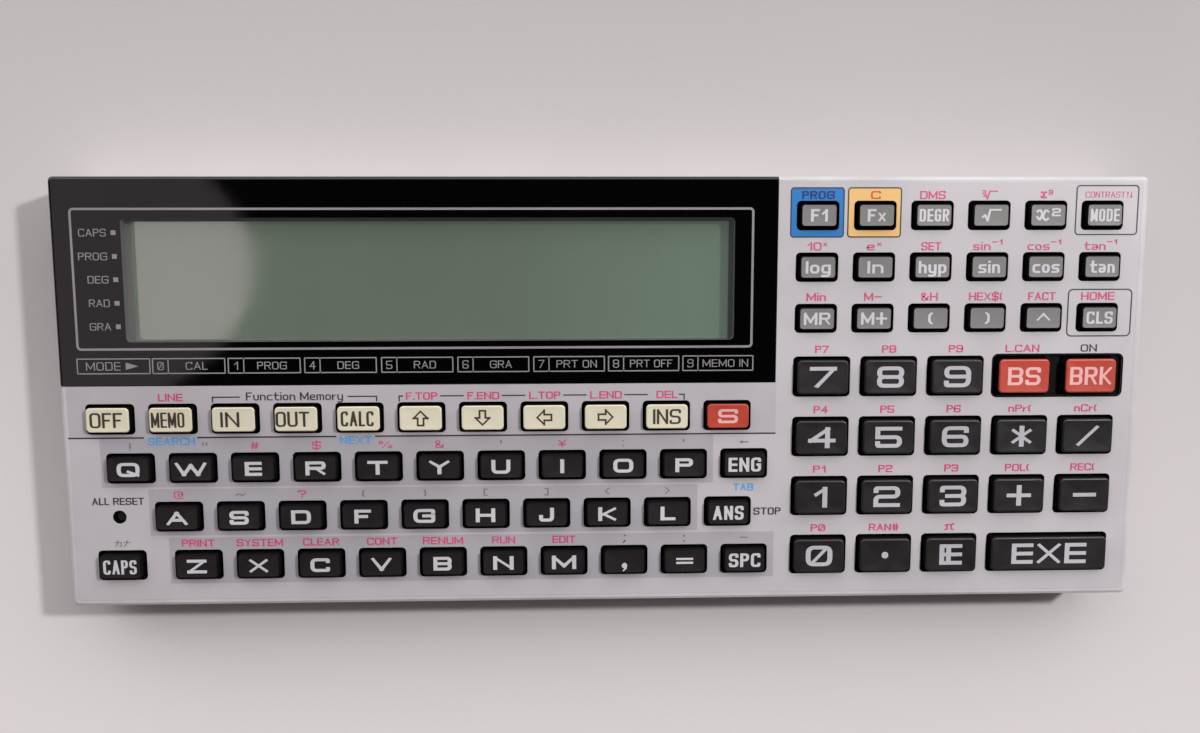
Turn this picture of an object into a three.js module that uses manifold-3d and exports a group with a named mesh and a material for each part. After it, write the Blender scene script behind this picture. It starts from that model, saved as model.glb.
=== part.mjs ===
// A pocket computer: a slim two-shell case with a display window, eighty keys and coin cells.
// Millimetres. +X runs to the right of the keyboard, +Y towards the display's top edge, +Z out of
// the face. The origin is under the middle of the case, on the plane that its feet stand on.

import * as THREE from 'three';
import { mergeVertices } from 'three/addons/utils/BufferGeometryUtils.js';
import Module from 'manifold-3d';

const wasm = await Module();
wasm.setup();

// Key layout, which sets the size of the case. A letter block with a function row on top stands
// at the left, and small keys over number keys at the right.
const letterPitch = 10.98;
const letterRowPitch = 8.88;
const smallPitchX = 10.23;
const smallPitchY = 9.12;
const numberPitchX = 12.18;
const numberPitchY = 10.97;
const blockGap = 15.78;
const smallToNumberX = 1.27;
const smallToNumberY = 10.51;
const marginLeft = 8.55;
const marginRight = 8.3;
const marginTop = 6.85;
const marginBottom = 8.24;
const letterMarginBottom = 7.61;
const upperRowStagger = 3.15;
const middleRowStagger = 11.25;
const lowerRowStagger = 14.35;
const capsStagger = 0.75;
const functionRowKeys = 11;
const upperRowKeys = 11;
const middleRowKeys = 10;
const lowerRowKeys = 10;
const smallColumns = 6;
const smallRows = 3;
const numberColumns = 5;
const numberRows = 4;

const caseWidth = marginLeft + (functionRowKeys - 1) * letterPitch + blockGap
  + (smallColumns - 1) * smallPitchX + marginRight;
const caseDepth = marginTop + (smallRows - 1) * smallPitchY + smallToNumberY
  + (numberRows - 1) * numberPitchY + marginBottom;
const halfWidth = caseWidth / 2;
const halfDepth = caseDepth / 2;

const functionRowX = marginLeft - halfWidth;
const functionRowY = letterMarginBottom + 3 * letterRowPitch - halfDepth;
const smallBlockX = halfWidth - marginRight - (smallColumns - 1) * smallPitchX;
const smallBlockY = halfDepth - marginTop;
const numberBlockX = smallBlockX + smallToNumberX;
const numberBlockY = smallBlockY - (smallRows - 1) * smallPitchY - smallToNumberY;
const shiftKeyX = functionRowX + (functionRowKeys - 1) * letterPitch;

// Case
const caseCorner = 0.8;
const wall = 1.5;
const rim = 1.1;
const rimRound = 0.6;
const backRound = 2;
const footHeight = 0.5;
const floor = 1.5;
const fit = 0.3;
const overrun = 1;
const weldDistance = 1e-4;

// Heights of the stack above the feet, from the board up to the face
const boardUnderside = 5.9;
const boardThickness = 1;
const matThickness = 0.7;
const domeHeight = 2.3;
const flangeThickness = 0.7;
const deckThickness = 1.4;
const plateThickness = 0.5;
const partingHeight = 7.2;
const lipHeight = 1.3;
const lipThickness = 0.6;

const floorTop = footHeight + floor;
const boardTop = boardUnderside + boardThickness;
const matTop = boardTop + matThickness;
const flangeUnderside = matTop + domeHeight;
const deckUnderside = flangeUnderside + flangeThickness;
const deckTop = deckUnderside + deckThickness;
const faceHeight = deckTop + plateThickness;

// Display window, flush with the face and with the case's left and top sides
const displayOverhang = 8.75;
const displayRise = 5.85;
const viewMarginLeft = 12.1;
const viewMarginRight = 7.7;
const viewMarginBottom = 7.85;
const viewMarginTop = 7.15;
const windowThickness = 1.5;
const windowGap = 0.15;
const ledgeThickness = 1;
const ledgeOverlap = 1.2;
const ledgeSetback = 0.6;
const frameSetbackX = 0.7;
const frameSetbackTop = 0.55;
const frameBorderX = 4.5;
const frameBorderY = 4.2;
const frameSheet = 0.4;
const glassThickness = 1.2;
const connectorWidth = 2;
const connectorSetback = 0.8;

const displayRight = shiftKeyX + displayOverhang;
const displayBottom = functionRowY + displayRise;
const viewLeft = viewMarginLeft - halfWidth;
const viewRight = displayRight - viewMarginRight;
const viewBottom = displayBottom + viewMarginBottom;
const viewTop = halfDepth - viewMarginTop;
const windowUnderside = faceHeight - windowThickness;
const ledgeUnderside = windowUnderside - ledgeThickness;
const glassTop = ledgeUnderside - frameSheet;
const glassUnderside = glassTop - glassThickness;

// Key apertures in the face, and how the caps fill them
const flangeOverlap = 0.5;
const apertureCorner = 0.8;
const webWidth = 2.4;
const domeBase = 2.1;
const domeTip = 1.5;
const domeSides = 4;
const breakWellMargin = 1;
const letterKey = { width: 8.6, depth: 5.5, gap: 0.45, draft: 0.12, edge: 0.2, height: 1.35 };
const smallKey = { width: 7.6, depth: 5.2, gap: 0.5, draft: 0.15, edge: 0.15, height: 1.05 };
const numberKey = { width: 10.35, depth: 7.3, gap: 0.4, draft: 0.2, edge: 0.25, height: 1.35 };

// Reset button, sunk in its own hole
const resetInset = 9.2;
const resetX = resetInset - halfWidth;
const resetY = functionRowY - 2 * letterRowPitch;
const resetHoleRadius = 1.2;
const resetStemRadius = 0.85;
const resetFlangeRadius = 2;
const resetDepth = 1;

// Screws, their bosses in the lower shell and posts in the upper one
const postToFlange = 2.6;
const screwInset = 4.3;
const screwPlaces = [
  [screwInset - halfWidth, halfDepth - screwInset],
  [displayRight, halfDepth - screwInset],
  [screwInset - halfWidth, (functionRowY + resetY) / 2 - postToFlange],
  [shiftKeyX + blockGap / 2, functionRowY - 2 * letterRowPitch],
];
const screwHeadRadius = 2;
const screwHeadHeight = 1.3;
const screwShankRadius = 1;
const screwLength = 7;
const screwRimShare = 0.8;
const screwSlotWidth = 0.6;
const screwSlotDepth = 0.7;
const screwSlotLength = 2.6;
const counterboreDepth = 1.9;
const bossRadius = 3.4;
const bossHeight = 2;
const postRadius = 2.1;
const roundSides = 12;

const screwSeat = footHeight + counterboreDepth;
const screwTip = screwSeat + screwLength;
const bossTop = floorTop + bossHeight;

// Coin cells, their bay, contact and sliding cover
const mainCellRadius = 10;
const mainCellHeight = 3.2;
const backupCellRadius = 6.25;
const backupCellHeight = 2;
const cellRimRound = 0.4;
const cellSpacing = 0.8;
const bayClearance = 0.5;
const bayWall = 1.7;
const bayEnd = 1.5;
const contactThickness = 0.3;
const contactWidth = 8;
const contactLeafLength = 5;
const coverThickness = 1.5;
const coverLip = 0.6;
const coverTongue = 0.8;
const coverEndHeight = 4.2;
const coverRidges = 5;
const coverRidgeWidth = 0.7;
const coverRidgePitch = 1.8;
const coverRidgeDepth = 0.35;
const coverRidgeLength = 14;
const coverRidgeInset = 5;

// Accessory port in the left side, with its push-in cover
const portY = 8;
const portWidth = 36;
const portHeight = 3.2;
const portSill = 2.6;
const portFrameOverlap = 0.9;
const socketDepth = 7;
const socketSlotWidth = 31;
const socketSlotHeight = 1.6;
const socketSlotDepth = 4;
const portTongueLength = 3.4;
const portGripWidth = 10;
const portGripDepth = 0.5;
const portGripHeight = 1.2;

// Board, chips and the ribs that carry the board
const boardClearance = 0.6;
const chipHeight = 1.8;
const chipDraft = 0.5;
const chipRise = 12;
const chipDrop = 18;
const processorChip = { width: 20, depth: 14 };
const romChip = { width: 17, depth: 10 };
const ramChip = { width: 15, depth: 9 };
const ribThickness = 1.2;
const ribShares = [-0.66, -0.25, 0.16];
const ribClearance = 6.7;
const padRadius = 2.2;
const padInset = 9.7;

// Feet and the bare recess on the back
const footWidth = 9;
const footDepth = 3;
const footInsetX = 10;
const footInsetY = 6.5;
const recessInset = 30.5;
const recessWidth = 64;
const recessDepth = 26;
const recessSink = 0.3;
const recessCorner = 1;

const innerX = halfWidth - wall;
const innerY = halfDepth - wall;
const plateX = halfWidth - rim;
const plateY = halfDepth - rim;

const finish = (color, roughness, metalness = 0) =>
  new THREE.MeshStandardMaterial({ color, roughness, metalness });
const silverPaint = finish(0xb9b6b8, 0.45, 0.2);
const platedFace = finish(0xc4c2c6, 0.4, 0.6);
const blackGloss = finish(0x111113, 0.08);
const blackPlastic = finish(0x1f1e20, 0.5);
const greyPlastic = finish(0x77756f, 0.5);
const creamPlastic = finish(0xe2dcbc, 0.5);
const redPlastic = finish(0xcf4a33, 0.45);
const sheetSteel = finish(0x9a9ca0, 0.35, 0.9);
const displayGlass = finish(0x74816f, 0.15);
const blackSteel = finish(0x161617, 0.5, 0.5);
const darkRubber = finish(0x2b2b2e, 0.9);
const boardGreen = finish(0x1f5a35, 0.55);
const cellSteel = finish(0xc8cacc, 0.25, 1);

const root = new THREE.Group();

// A closed body through stacked rings. Each ring is a rectangle with rounded corners.
function rings(levels, cornerSteps, cx = 0, cy = 0) {
  const points = [];
  for (const { z, x, y, corner } of levels) {
    const turns = [[1, 1], [-1, 1], [-1, -1], [1, -1]];
    turns.forEach(([sx, sy], quarter) => {
      for (let step = 0; step <= cornerSteps; step++) {
        const angle = (quarter + step / cornerSteps) * Math.PI / 2;
        points.push(cx + sx * (x - corner) + corner * Math.cos(angle));
        points.push(cy + sy * (y - corner) + corner * Math.sin(angle), z);
      }
    });
  }
  const count = 4 * (cornerSteps + 1);
  const index = [];
  for (let ring = 0; ring + 1 < levels.length; ring++) {
    for (let i = 0; i < count; i++) {
      const a = ring * count + i;
      const b = ring * count + (i + 1) % count;
      index.push(a, b, b + count, a, b + count, a + count);
    }
  }
  const last = (levels.length - 1) * count;
  for (let i = 1; i + 1 < count; i++) {
    index.push(0, i + 1, i, last, last + i, last + i + 1);
  }
  const geometry = new THREE.BufferGeometry();
  geometry.setAttribute('position', new THREE.Float32BufferAttribute(points, 3));
  geometry.setIndex(index);
  return geometry;
}

// A box between two corners.
function box(x0, x1, y0, y1, z0, z1) {
  const geometry = new THREE.BoxGeometry(x1 - x0, y1 - y0, z1 - z0);
  return geometry.translate((x0 + x1) / 2, (y0 + y1) / 2, (z0 + z1) / 2);
}

// A body of revolution about a vertical axis at cx, cy, from [radius, height] pairs.
function turned(profile, sides, cx, cy) {
  const points = profile.map(([radius, z]) => new THREE.Vector2(radius, z));
  return new THREE.LatheGeometry(points, sides).rotateX(Math.PI / 2).translate(cx, cy, 0);
}

function cylinder(radius, z0, z1, sides, cx, cy) {
  return turned([[0, z0], [radius, z0], [radius, z1], [0, z1]], sides, cx, cy);
}

// three.js geometry to a solid that can be cut and joined, and back.
function solid(geometry) {
  const bare = new THREE.BufferGeometry();
  bare.setAttribute('position', geometry.getAttribute('position'));
  bare.setIndex(geometry.index);
  const merged = mergeVertices(bare, weldDistance);
  return new wasm.Manifold(new wasm.Mesh({
    numProp: 3,
    vertProperties: merged.getAttribute('position').array,
    triVerts: new Uint32Array(merged.index.array),
  }));
}

function surface(body) {
  const mesh = body.getMesh();
  const geometry = new THREE.BufferGeometry();
  geometry.setAttribute('position', new THREE.Float32BufferAttribute(mesh.vertProperties, 3));
  geometry.setIndex([...mesh.triVerts]);
  geometry.computeVertexNormals();
  return geometry;
}

const join = (...geometries) => geometries.map(solid).reduce((a, b) => a.add(b));

function node(name, shape, material) {
  const geometry = shape.isBufferGeometry ? shape : surface(shape);
  const mesh = new THREE.Mesh(geometry, material);
  mesh.name = name;
  root.add(mesh);
}

// The outside of the closed case, from its back to its face.
function envelope() {
  const levels = [];
  const level = (z, inset) => levels.push({
    z,
    x: halfWidth - inset,
    y: halfDepth - inset,
    corner: Math.max(caseCorner - inset / 2, caseCorner / 4),
  });
  for (const share of [0, 1 / 3, 2 / 3, 1]) {
    const angle = share * Math.PI / 2;
    level(footHeight + backRound * (1 - Math.cos(angle)), backRound * (1 - Math.sin(angle)));
  }
  for (const share of [0, 1 / 2, 1]) {
    const angle = share * Math.PI / 2;
    level(faceHeight - rimRound * (1 - Math.sin(angle)), rimRound * (1 - Math.cos(angle)));
  }
  return solid(rings(levels, 3));
}

const outside = envelope();
const between = (z0, z1) => outside.intersect(solid(
  box(-caseWidth, caseWidth, -caseDepth, caseDepth, z0, z1)));

// Every key, with its place, kind and colour.
function keyList() {
  const keys = [];
  const rowY = (row) => functionRowY - row * letterRowPitch;
  const functionNames = [
    'off', 'memo', 'in', 'out', 'calc', 'up', 'down', 'left', 'right', 'insert', 'shift',
  ];
  functionNames.forEach((name, i) => keys.push({
    node: `key_${name}`,
    kind: letterKey,
    x: functionRowX + i * letterPitch,
    y: rowY(0),
    material: name === 'shift' ? redPlastic : creamPlastic,
  }));
  const letterRow = (node, row, stagger, count) => {
    for (let i = 0; i < count; i++) {
      keys.push({
        node,
        kind: letterKey,
        x: functionRowX + stagger + i * letterPitch,
        y: rowY(row),
        material: blackPlastic,
      });
    }
  };
  letterRow('upper_letter_keys', 1, upperRowStagger, upperRowKeys);
  letterRow('middle_letter_keys', 2, middleRowStagger, middleRowKeys);
  letterRow('lower_letter_keys', 3, capsStagger, 1);
  letterRow('lower_letter_keys', 3, lowerRowStagger, lowerRowKeys);
  ['upper_small_keys', 'middle_small_keys', 'lower_small_keys'].forEach((node, row) => {
    for (let column = 0; column < smallColumns; column++) {
      keys.push({
        node,
        kind: smallKey,
        x: smallBlockX + column * smallPitchX,
        y: smallBlockY - row * smallPitchY,
        material: greyPlastic,
      });
    }
  });
  const numberNames = [
    ['7', '8', '9', 'backspace', 'break'],
    ['4', '5', '6', 'multiply', 'divide'],
    ['1', '2', '3', 'plus', 'minus'],
    ['0', 'point', 'exponent', 'execute'],
  ];
  numberNames.forEach((names, row) => names.forEach((name, column) => {
    const wide = name === 'execute';
    const slot = wide ? column + 1 / 2 : column;
    keys.push({
      node: `key_${name}`,
      kind: wide ? { ...numberKey, width: numberKey.width + numberPitchX } : numberKey,
      x: numberBlockX + slot * numberPitchX,
      y: numberBlockY - row * numberPitchY,
      material: row === 0 && column > 2 ? redPlastic : blackPlastic,
    });
  }));
  return keys;
}

const keys = keyList();

// A cap: a flange that stops it under the deck, and a drafted column with eased top edges.
function keyCap({ kind, x, y }) {
  const ring = (z, grow, corner) => ({
    z, x: kind.width / 2 + grow, y: kind.depth / 2 + grow, corner,
  });
  const top = faceHeight + kind.height;
  const cornerOfCap = apertureCorner - kind.gap / 2;
  return rings([
    ring(flangeUnderside, flangeOverlap, apertureCorner),
    ring(deckUnderside, flangeOverlap, apertureCorner),
    ring(deckUnderside, -kind.gap, cornerOfCap),
    ring(top - kind.edge, -kind.gap - kind.draft, cornerOfCap),
    ring(top, -kind.gap - kind.draft - kind.edge, cornerOfCap),
  ], 1, x, y);
}

// Keys that share a node are one moulding: their flanges are joined by a web under the deck.
function keyNodes() {
  const nodes = new Map();
  for (const key of keys) {
    nodes.set(key.node, [...(nodes.get(key.node) ?? []), key]);
  }
  for (const [name, members] of nodes) {
    if (members.length === 1) {
      node(name, keyCap(members[0]), members[0].material);
      continue;
    }
    const first = members[0];
    const last = members[members.length - 1];
    const web = box(first.x, last.x, first.y - webWidth / 2, first.y + webWidth / 2,
      flangeUnderside, deckUnderside);
    node(name, join(...members.map(keyCap), web), first.material);
  }
}

// The apertures, as cutters between two heights, with rounded corners or square ones.
function apertureCutters(z0, z1, cornerSteps, corner) {
  return keys.map(({ kind, x, y }) => {
    const ring = (z) => ({ z, x: kind.width / 2, y: kind.depth / 2, corner });
    return cornerSteps
      ? rings([ring(z0), ring(z1)], cornerSteps, x, y)
      : box(x - kind.width / 2, x + kind.width / 2, y - kind.depth / 2, y + kind.depth / 2, z0, z1);
  });
}

// The face plate before anything is cut from it, which is also the recess that it lies in.
function plateBlank(z0, z1) {
  const level = (z) => ({ z, x: plateX, y: plateY, corner: caseCorner - rim / 2 });
  return rings([level(z0), level(z1)], 2);
}

// The silver plate: the face without the display's corner, pierced for the keys.
function facePlate() {
  const blank = solid(plateBlank(deckTop, faceHeight));
  const displayCorner = box(-caseWidth, displayRight, displayBottom, caseDepth,
    deckTop - overrun, faceHeight + overrun);
  const lastColumn = numberBlockX + (numberColumns - 1) * numberPitchX;
  const sharedWell = box(
    lastColumn - numberPitchX, lastColumn + numberKey.width / 2 + breakWellMargin,
    numberBlockY - numberKey.depth / 2, numberBlockY + numberKey.depth / 2,
    deckTop - overrun, faceHeight + overrun);
  const cutters = join(
    displayCorner, sharedWell,
    cylinder(resetHoleRadius, deckTop - overrun, faceHeight + overrun, roundSides, resetX, resetY),
    ...apertureCutters(deckTop - overrun, faceHeight + overrun, 1, apertureCorner));
  return blank.subtract(cutters);
}

const atScrews = (radius, z0, z1) =>
  screwPlaces.map(([x, y]) => cylinder(radius, z0, z1, roundSides, x, y));

// The upper shell: rim, walls, the deck under the plate and the ledge under the window.
function upperCase() {
  const zoneRight = displayRight + ledgeOverlap;
  const zoneBottom = displayBottom - ledgeOverlap;
  const cuts = join(
    box(-innerX, innerX, -innerY, innerY, partingHeight, ledgeUnderside),
    box(-innerX, innerX, -innerY, zoneBottom, partingHeight, deckUnderside),
    box(zoneRight, innerX, -innerY, innerY, partingHeight, deckUnderside),
    box(-innerX - lipThickness - fit, innerX + lipThickness + fit,
      -innerY - lipThickness - fit, innerY + lipThickness + fit,
      partingHeight, partingHeight + lipHeight + fit),
    box(-caseWidth, displayRight, displayBottom, caseDepth, windowUnderside, faceHeight + overrun),
    plateBlank(deckTop, faceHeight + overrun),
    box(viewLeft - ledgeSetback, viewRight + ledgeSetback, viewBottom - ledgeSetback,
      viewTop + ledgeSetback, ledgeUnderside - overrun, windowUnderside + overrun),
    cylinder(resetHoleRadius, deckUnderside - overrun, faceHeight, roundSides, resetX, resetY),
    ...apertureCutters(deckUnderside - overrun, faceHeight, 0));
  const shell = between(partingHeight + fit, faceHeight + overrun).subtract(cuts);
  const posts = join(...atScrews(postRadius, bossTop, deckUnderside + fit));
  const bores = join(...atScrews(screwShankRadius + fit, bossTop - overrun, screwTip + fit));
  return shell.add(posts).subtract(bores);
}

// The bay's sizes, shared by the lower shell, the cells, the contact and the cover.
const bayHalf = mainCellRadius + bayClearance;
const coverHalf = bayHalf + bayWall - coverTongue + fit;
const tongueHalf = coverHalf + coverTongue;
const coverTop = footHeight + coverThickness;
const cellFloor = coverTop + fit;
const bayCeiling = cellFloor + mainCellHeight + contactThickness;
const secondCellX = halfWidth - wall - bayClearance - mainCellRadius;
const firstCellX = secondCellX - 2 * mainCellRadius - cellSpacing;
const backupCellX = firstCellX - mainCellRadius - cellSpacing - backupCellRadius;
const bayLeft = backupCellX - backupCellRadius - bayClearance;

// The lower shell: tray, lip, feet, screw bosses, ribs, and the bay for the cells.
function lowerCase() {
  const tray = between(footHeight, partingHeight).subtract(solid(
    box(-innerX, innerX, -innerY, innerY, floorTop, partingHeight + overrun)));
  const lipTop = partingHeight + lipHeight;
  const lip = solid(box(-innerX - lipThickness, innerX + lipThickness,
    -innerY - lipThickness, innerY + lipThickness, partingHeight - overrun, lipTop))
    .subtract(solid(box(-innerX, innerX, -innerY, innerY, floorTop, lipTop + overrun)));
  const bosses = atScrews(bossRadius, floorTop - floor / 2, bossTop);
  const ribReach = innerY - ribClearance;
  const ribs = ribShares.map((share) => share * halfWidth).map((x) => box(x - ribThickness / 2,
    x + ribThickness / 2, -ribReach, ribReach, floorTop - floor / 2, boardUnderside));
  const pads = [];
  for (const x of [firstCellX, secondCellX]) {
    for (const y of [padInset - innerY, innerY - padInset]) {
      pads.push(cylinder(padRadius, floorTop - floor / 2, boardUnderside, roundSides, x, y));
    }
  }
  const feet = [];
  for (const sx of [-1, 1]) {
    for (const sy of [-1, 1]) {
      const x = sx * (halfWidth - footInsetX);
      const y = sy * (halfDepth - footInsetY);
      feet.push(box(x - footWidth / 2, x + footWidth / 2, y - footDepth / 2, y + footDepth / 2,
        0, footHeight + floor / 2));
    }
  }
  const bayBlock = box(bayLeft - bayEnd, innerX + wall / 2, -tongueHalf - bayEnd, tongueHalf + bayEnd,
    floorTop - floor / 2, boardTop);
  const solidParts = tray.add(lip).add(join(...bosses, ...ribs, ...pads, ...feet, bayBlock));

  const grooveLow = footHeight + coverLip;
  const coverLeft = bayLeft - fit;
  const cuts = join(
    box(bayLeft, innerX, -bayHalf, bayHalf, grooveLow, bayCeiling),
    box(innerX - overrun, caseWidth, -coverHalf - fit, coverHalf + fit,
      0, footHeight + coverEndHeight + fit),
    box(coverLeft, caseWidth, -coverHalf - fit, coverHalf + fit, 0, cellFloor),
    box(coverLeft, caseWidth, -tongueHalf - fit, tongueHalf + fit, grooveLow, cellFloor),
    ...atScrews(screwHeadRadius + fit, 0, screwSeat),
    ...atScrews(screwShankRadius + fit, 0, bossTop + overrun),
    portOpening(),
    recessCutter());
  return solidParts.subtract(cuts);
}

function portOpening() {
  return box(-caseWidth, -innerX + overrun, portY - portWidth / 2, portY + portWidth / 2,
    portSill, portSill + portHeight);
}

function recessCutter() {
  const level = (z) => ({ z, x: recessWidth / 2, y: recessDepth / 2, corner: recessCorner });
  const x = recessInset + recessWidth / 2 - halfWidth;
  return rings([level(0), level(footHeight + recessSink)], 2, x);
}

// The window plate, cut from the same outside as the case, so its outer edges follow the rim.
function displayWindow() {
  return between(windowUnderside, faceHeight + overrun).intersect(solid(
    box(-caseWidth, displayRight - windowGap, displayBottom + windowGap, caseDepth,
      windowUnderside, faceHeight + overrun)));
}

// The pressed steel frame that holds the glass up to the ledge.
const frameBox = {
  x0: viewLeft - frameBorderX,
  x1: viewRight + frameBorderX,
  y0: viewBottom - frameBorderY,
  y1: viewTop + frameBorderY,
};
function lcdFrame() {
  const { x0, x1, y0, y1 } = frameBox;
  const pan = solid(box(x0, x1, y0, y1, boardTop, ledgeUnderside));
  const inside = box(x0 + frameSheet, x1 - frameSheet, y0 + frameSheet, y1 - frameSheet,
    boardTop - overrun, glassTop);
  const opening = box(viewLeft + frameSetbackX, viewRight - frameSetbackX,
    viewBottom, viewTop - frameSetbackTop, boardTop, ledgeUnderside + overrun);
  return pan.subtract(join(inside, opening));
}

function lcdGlass() {
  const gap = frameSheet + fit;
  const { x0, x1, y0, y1 } = frameBox;
  return box(x0 + gap, x1 - gap, y0 + gap, y1 - gap, glassUnderside, glassTop);
}

// The elastomer ring that joins the glass's contacts to the board.
function lcdConnector() {
  const gap = frameSheet + fit + connectorSetback;
  const { x0, x1, y0, y1 } = frameBox;
  const ring = solid(box(x0 + gap, x1 - gap, y0 + gap, y1 - gap, boardTop, glassUnderside));
  const inner = gap + connectorWidth;
  return ring.subtract(solid(box(x0 + inner, x1 - inner, y0 + inner, y1 - inner,
    boardTop - overrun, glassUnderside + overrun)));
}

// Square clearances round the screw posts, open to the sheet's edge where a post stands near it.
function postCutters(z0, z1) {
  const reach = postRadius + boardClearance;
  return screwPlaces.map(([x, y]) => box(x - reach, x + reach, y - reach, y + reach, z0, z1));
}

function mainBoard() {
  const x = innerX - boardClearance;
  const y = innerY - boardClearance;
  const blank = solid(box(-x, x, -y, y, boardUnderside, boardTop));
  const bayClear = tongueHalf + bayEnd + boardClearance;
  const bayCutout = box(bayLeft - bayEnd - boardClearance, caseWidth, -bayClear, bayClear,
    boardUnderside - overrun, boardTop + overrun);
  return blank.subtract(join(bayCutout, ...postCutters(boardUnderside - overrun, boardTop + overrun)));
}

// The rubber mat: an L-shaped sheet with a dome under every key and under the reset button.
function keyMat() {
  const x = innerX - boardClearance;
  const y = innerY - boardClearance;
  const sheetTop = displayBottom - ledgeOverlap;
  const sheetLeft = displayRight + ledgeOverlap;
  const rootOfDome = matTop - matThickness / 2;
  const dome = (cx, cy, share) => turned([
    [0, rootOfDome],
    [domeBase * share, rootOfDome],
    [domeBase * share, matTop],
    [domeTip * share, flangeUnderside],
    [0, flangeUnderside],
  ], domeSides, cx, cy);
  const resetShare = resetFlangeRadius / domeBase;
  const sheet = join(
    box(-x, x, -y, sheetTop, boardTop, matTop),
    box(sheetLeft, x, sheetTop - overrun, y, boardTop, matTop));
  return sheet.subtract(join(...postCutters(boardTop - overrun, matTop + overrun)))
    .add(join(...keys.map((key) => dome(key.x, key.y, 1)), dome(resetX, resetY, resetShare)));
}

// A chip hangs under the board, in the bay between two ribs.
function chip({ width, depth }, bay, y) {
  const x = (ribShares[bay] + ribShares[bay + 1]) / 2 * halfWidth;
  const ring = (z, inset) => ({ z, x: width / 2 - inset, y: depth / 2 - inset, corner: chipDraft / 2 });
  return rings([
    ring(boardUnderside - chipHeight, chipDraft),
    ring(boardUnderside - chipHeight / 2, 0),
    ring(boardUnderside, chipDraft),
  ], 1, x, y);
}

function cell(radius, height, x) {
  const top = cellFloor + height;
  return turned([
    [0, cellFloor],
    [radius - cellRimRound, cellFloor],
    [radius, cellFloor + cellRimRound],
    [radius, top - cellRimRound],
    [radius - cellRimRound, top],
    [0, top],
  ], 2 * roundSides, x, 0);
}

// The contact strip over the cells, with a leaf bent down to the thinner backup cell.
function cellContact() {
  const half = contactWidth / 2;
  const strip = box(backupCellX - contactLeafLength, secondCellX + contactLeafLength, -half, half,
    bayCeiling - contactThickness, bayCeiling);
  const leaf = box(backupCellX - contactLeafLength / 2, backupCellX + contactLeafLength / 2,
    -half / 2, half / 2, cellFloor + backupCellHeight, bayCeiling);
  return join(strip, leaf);
}

// The cover: a plate with side tongues, an end that closes the case's side, and grip ridges.
function batteryCover() {
  const left = bayLeft;
  const plate = between(footHeight, coverTop).intersect(solid(
    box(left, caseWidth, -coverHalf, coverHalf, 0, coverTop)));
  const tongueLow = footHeight + coverLip + fit;
  const tongues = box(left, innerX, -tongueHalf, tongueHalf, tongueLow, coverTop);
  const end = between(footHeight, footHeight + coverEndHeight).intersect(solid(
    box(innerX, caseWidth, -coverHalf, coverHalf, 0, footHeight + coverEndHeight)));
  const ridges = [];
  for (let i = 0; i < coverRidges; i++) {
    const x = left + coverRidgeInset + i * coverRidgePitch;
    ridges.push(box(x, x + coverRidgeWidth, -coverRidgeLength / 2, coverRidgeLength / 2,
      0, footHeight + coverRidgeDepth));
  }
  return plate.add(solid(tongues)).add(end).subtract(join(...ridges));
}

const portMiddle = portSill + portHeight / 2;

function portSocket() {
  const front = -innerX + fit;
  const half = portWidth / 2 - portFrameOverlap;
  const block = solid(box(front, front + socketDepth, portY - half, portY + half,
    floorTop, boardUnderside));
  return block.subtract(solid(box(front - overrun, front + socketSlotDepth,
    portY - socketSlotWidth / 2, portY + socketSlotWidth / 2,
    portMiddle - socketSlotHeight / 2, portMiddle + socketSlotHeight / 2)));
}

// The port's cover: a plate flush with the case's side, and a tongue that sits in the slot.
function portCover() {
  const half = portWidth / 2 - fit;
  const plate = outside.intersect(solid(box(-caseWidth, -innerX, portY - half, portY + half,
    portSill + fit, portSill + portHeight - fit)));
  const tongueHalfWidth = socketSlotWidth / 2 - fit;
  const tongueHalfHeight = socketSlotHeight / 2 - fit;
  const tongue = solid(box(-innerX - wall / 2, -innerX + portTongueLength,
    portY - tongueHalfWidth, portY + tongueHalfWidth,
    portMiddle - tongueHalfHeight, portMiddle + tongueHalfHeight));
  const grip = solid(box(-caseWidth, portGripDepth - halfWidth,
    portY - portGripWidth / 2, portY + portGripWidth / 2,
    portMiddle - portGripHeight / 2, portMiddle + portGripHeight / 2));
  return plate.add(tongue).subtract(grip);
}

function screw([x, y]) {
  const headBottom = screwSeat - screwHeadHeight;
  const body = solid(turned([
    [0, headBottom],
    [screwHeadRadius * screwRimShare, headBottom],
    [screwHeadRadius, headBottom + screwHeadHeight / 3],
    [screwHeadRadius, screwSeat],
    [screwShankRadius, screwSeat],
    [screwShankRadius, screwTip - screwShankRadius],
    [screwShankRadius / 2, screwTip],
    [0, screwTip],
  ], roundSides, x, y));
  const half = screwSlotWidth / 2;
  const reach = screwSlotLength / 2;
  const slotTop = headBottom + screwSlotDepth;
  return body.subtract(join(
    box(x - reach, x + reach, y - half, y + half, headBottom - overrun, slotTop),
    box(x - half, x + half, y - reach, y + reach, headBottom - overrun, slotTop)));
}

function resetButton() {
  return turned([
    [0, flangeUnderside],
    [resetFlangeRadius, flangeUnderside],
    [resetFlangeRadius, deckUnderside],
    [resetStemRadius, deckUnderside],
    [resetStemRadius, faceHeight - resetDepth],
    [0, faceHeight - resetDepth],
  ], roundSides, resetX, resetY);
}

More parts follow.
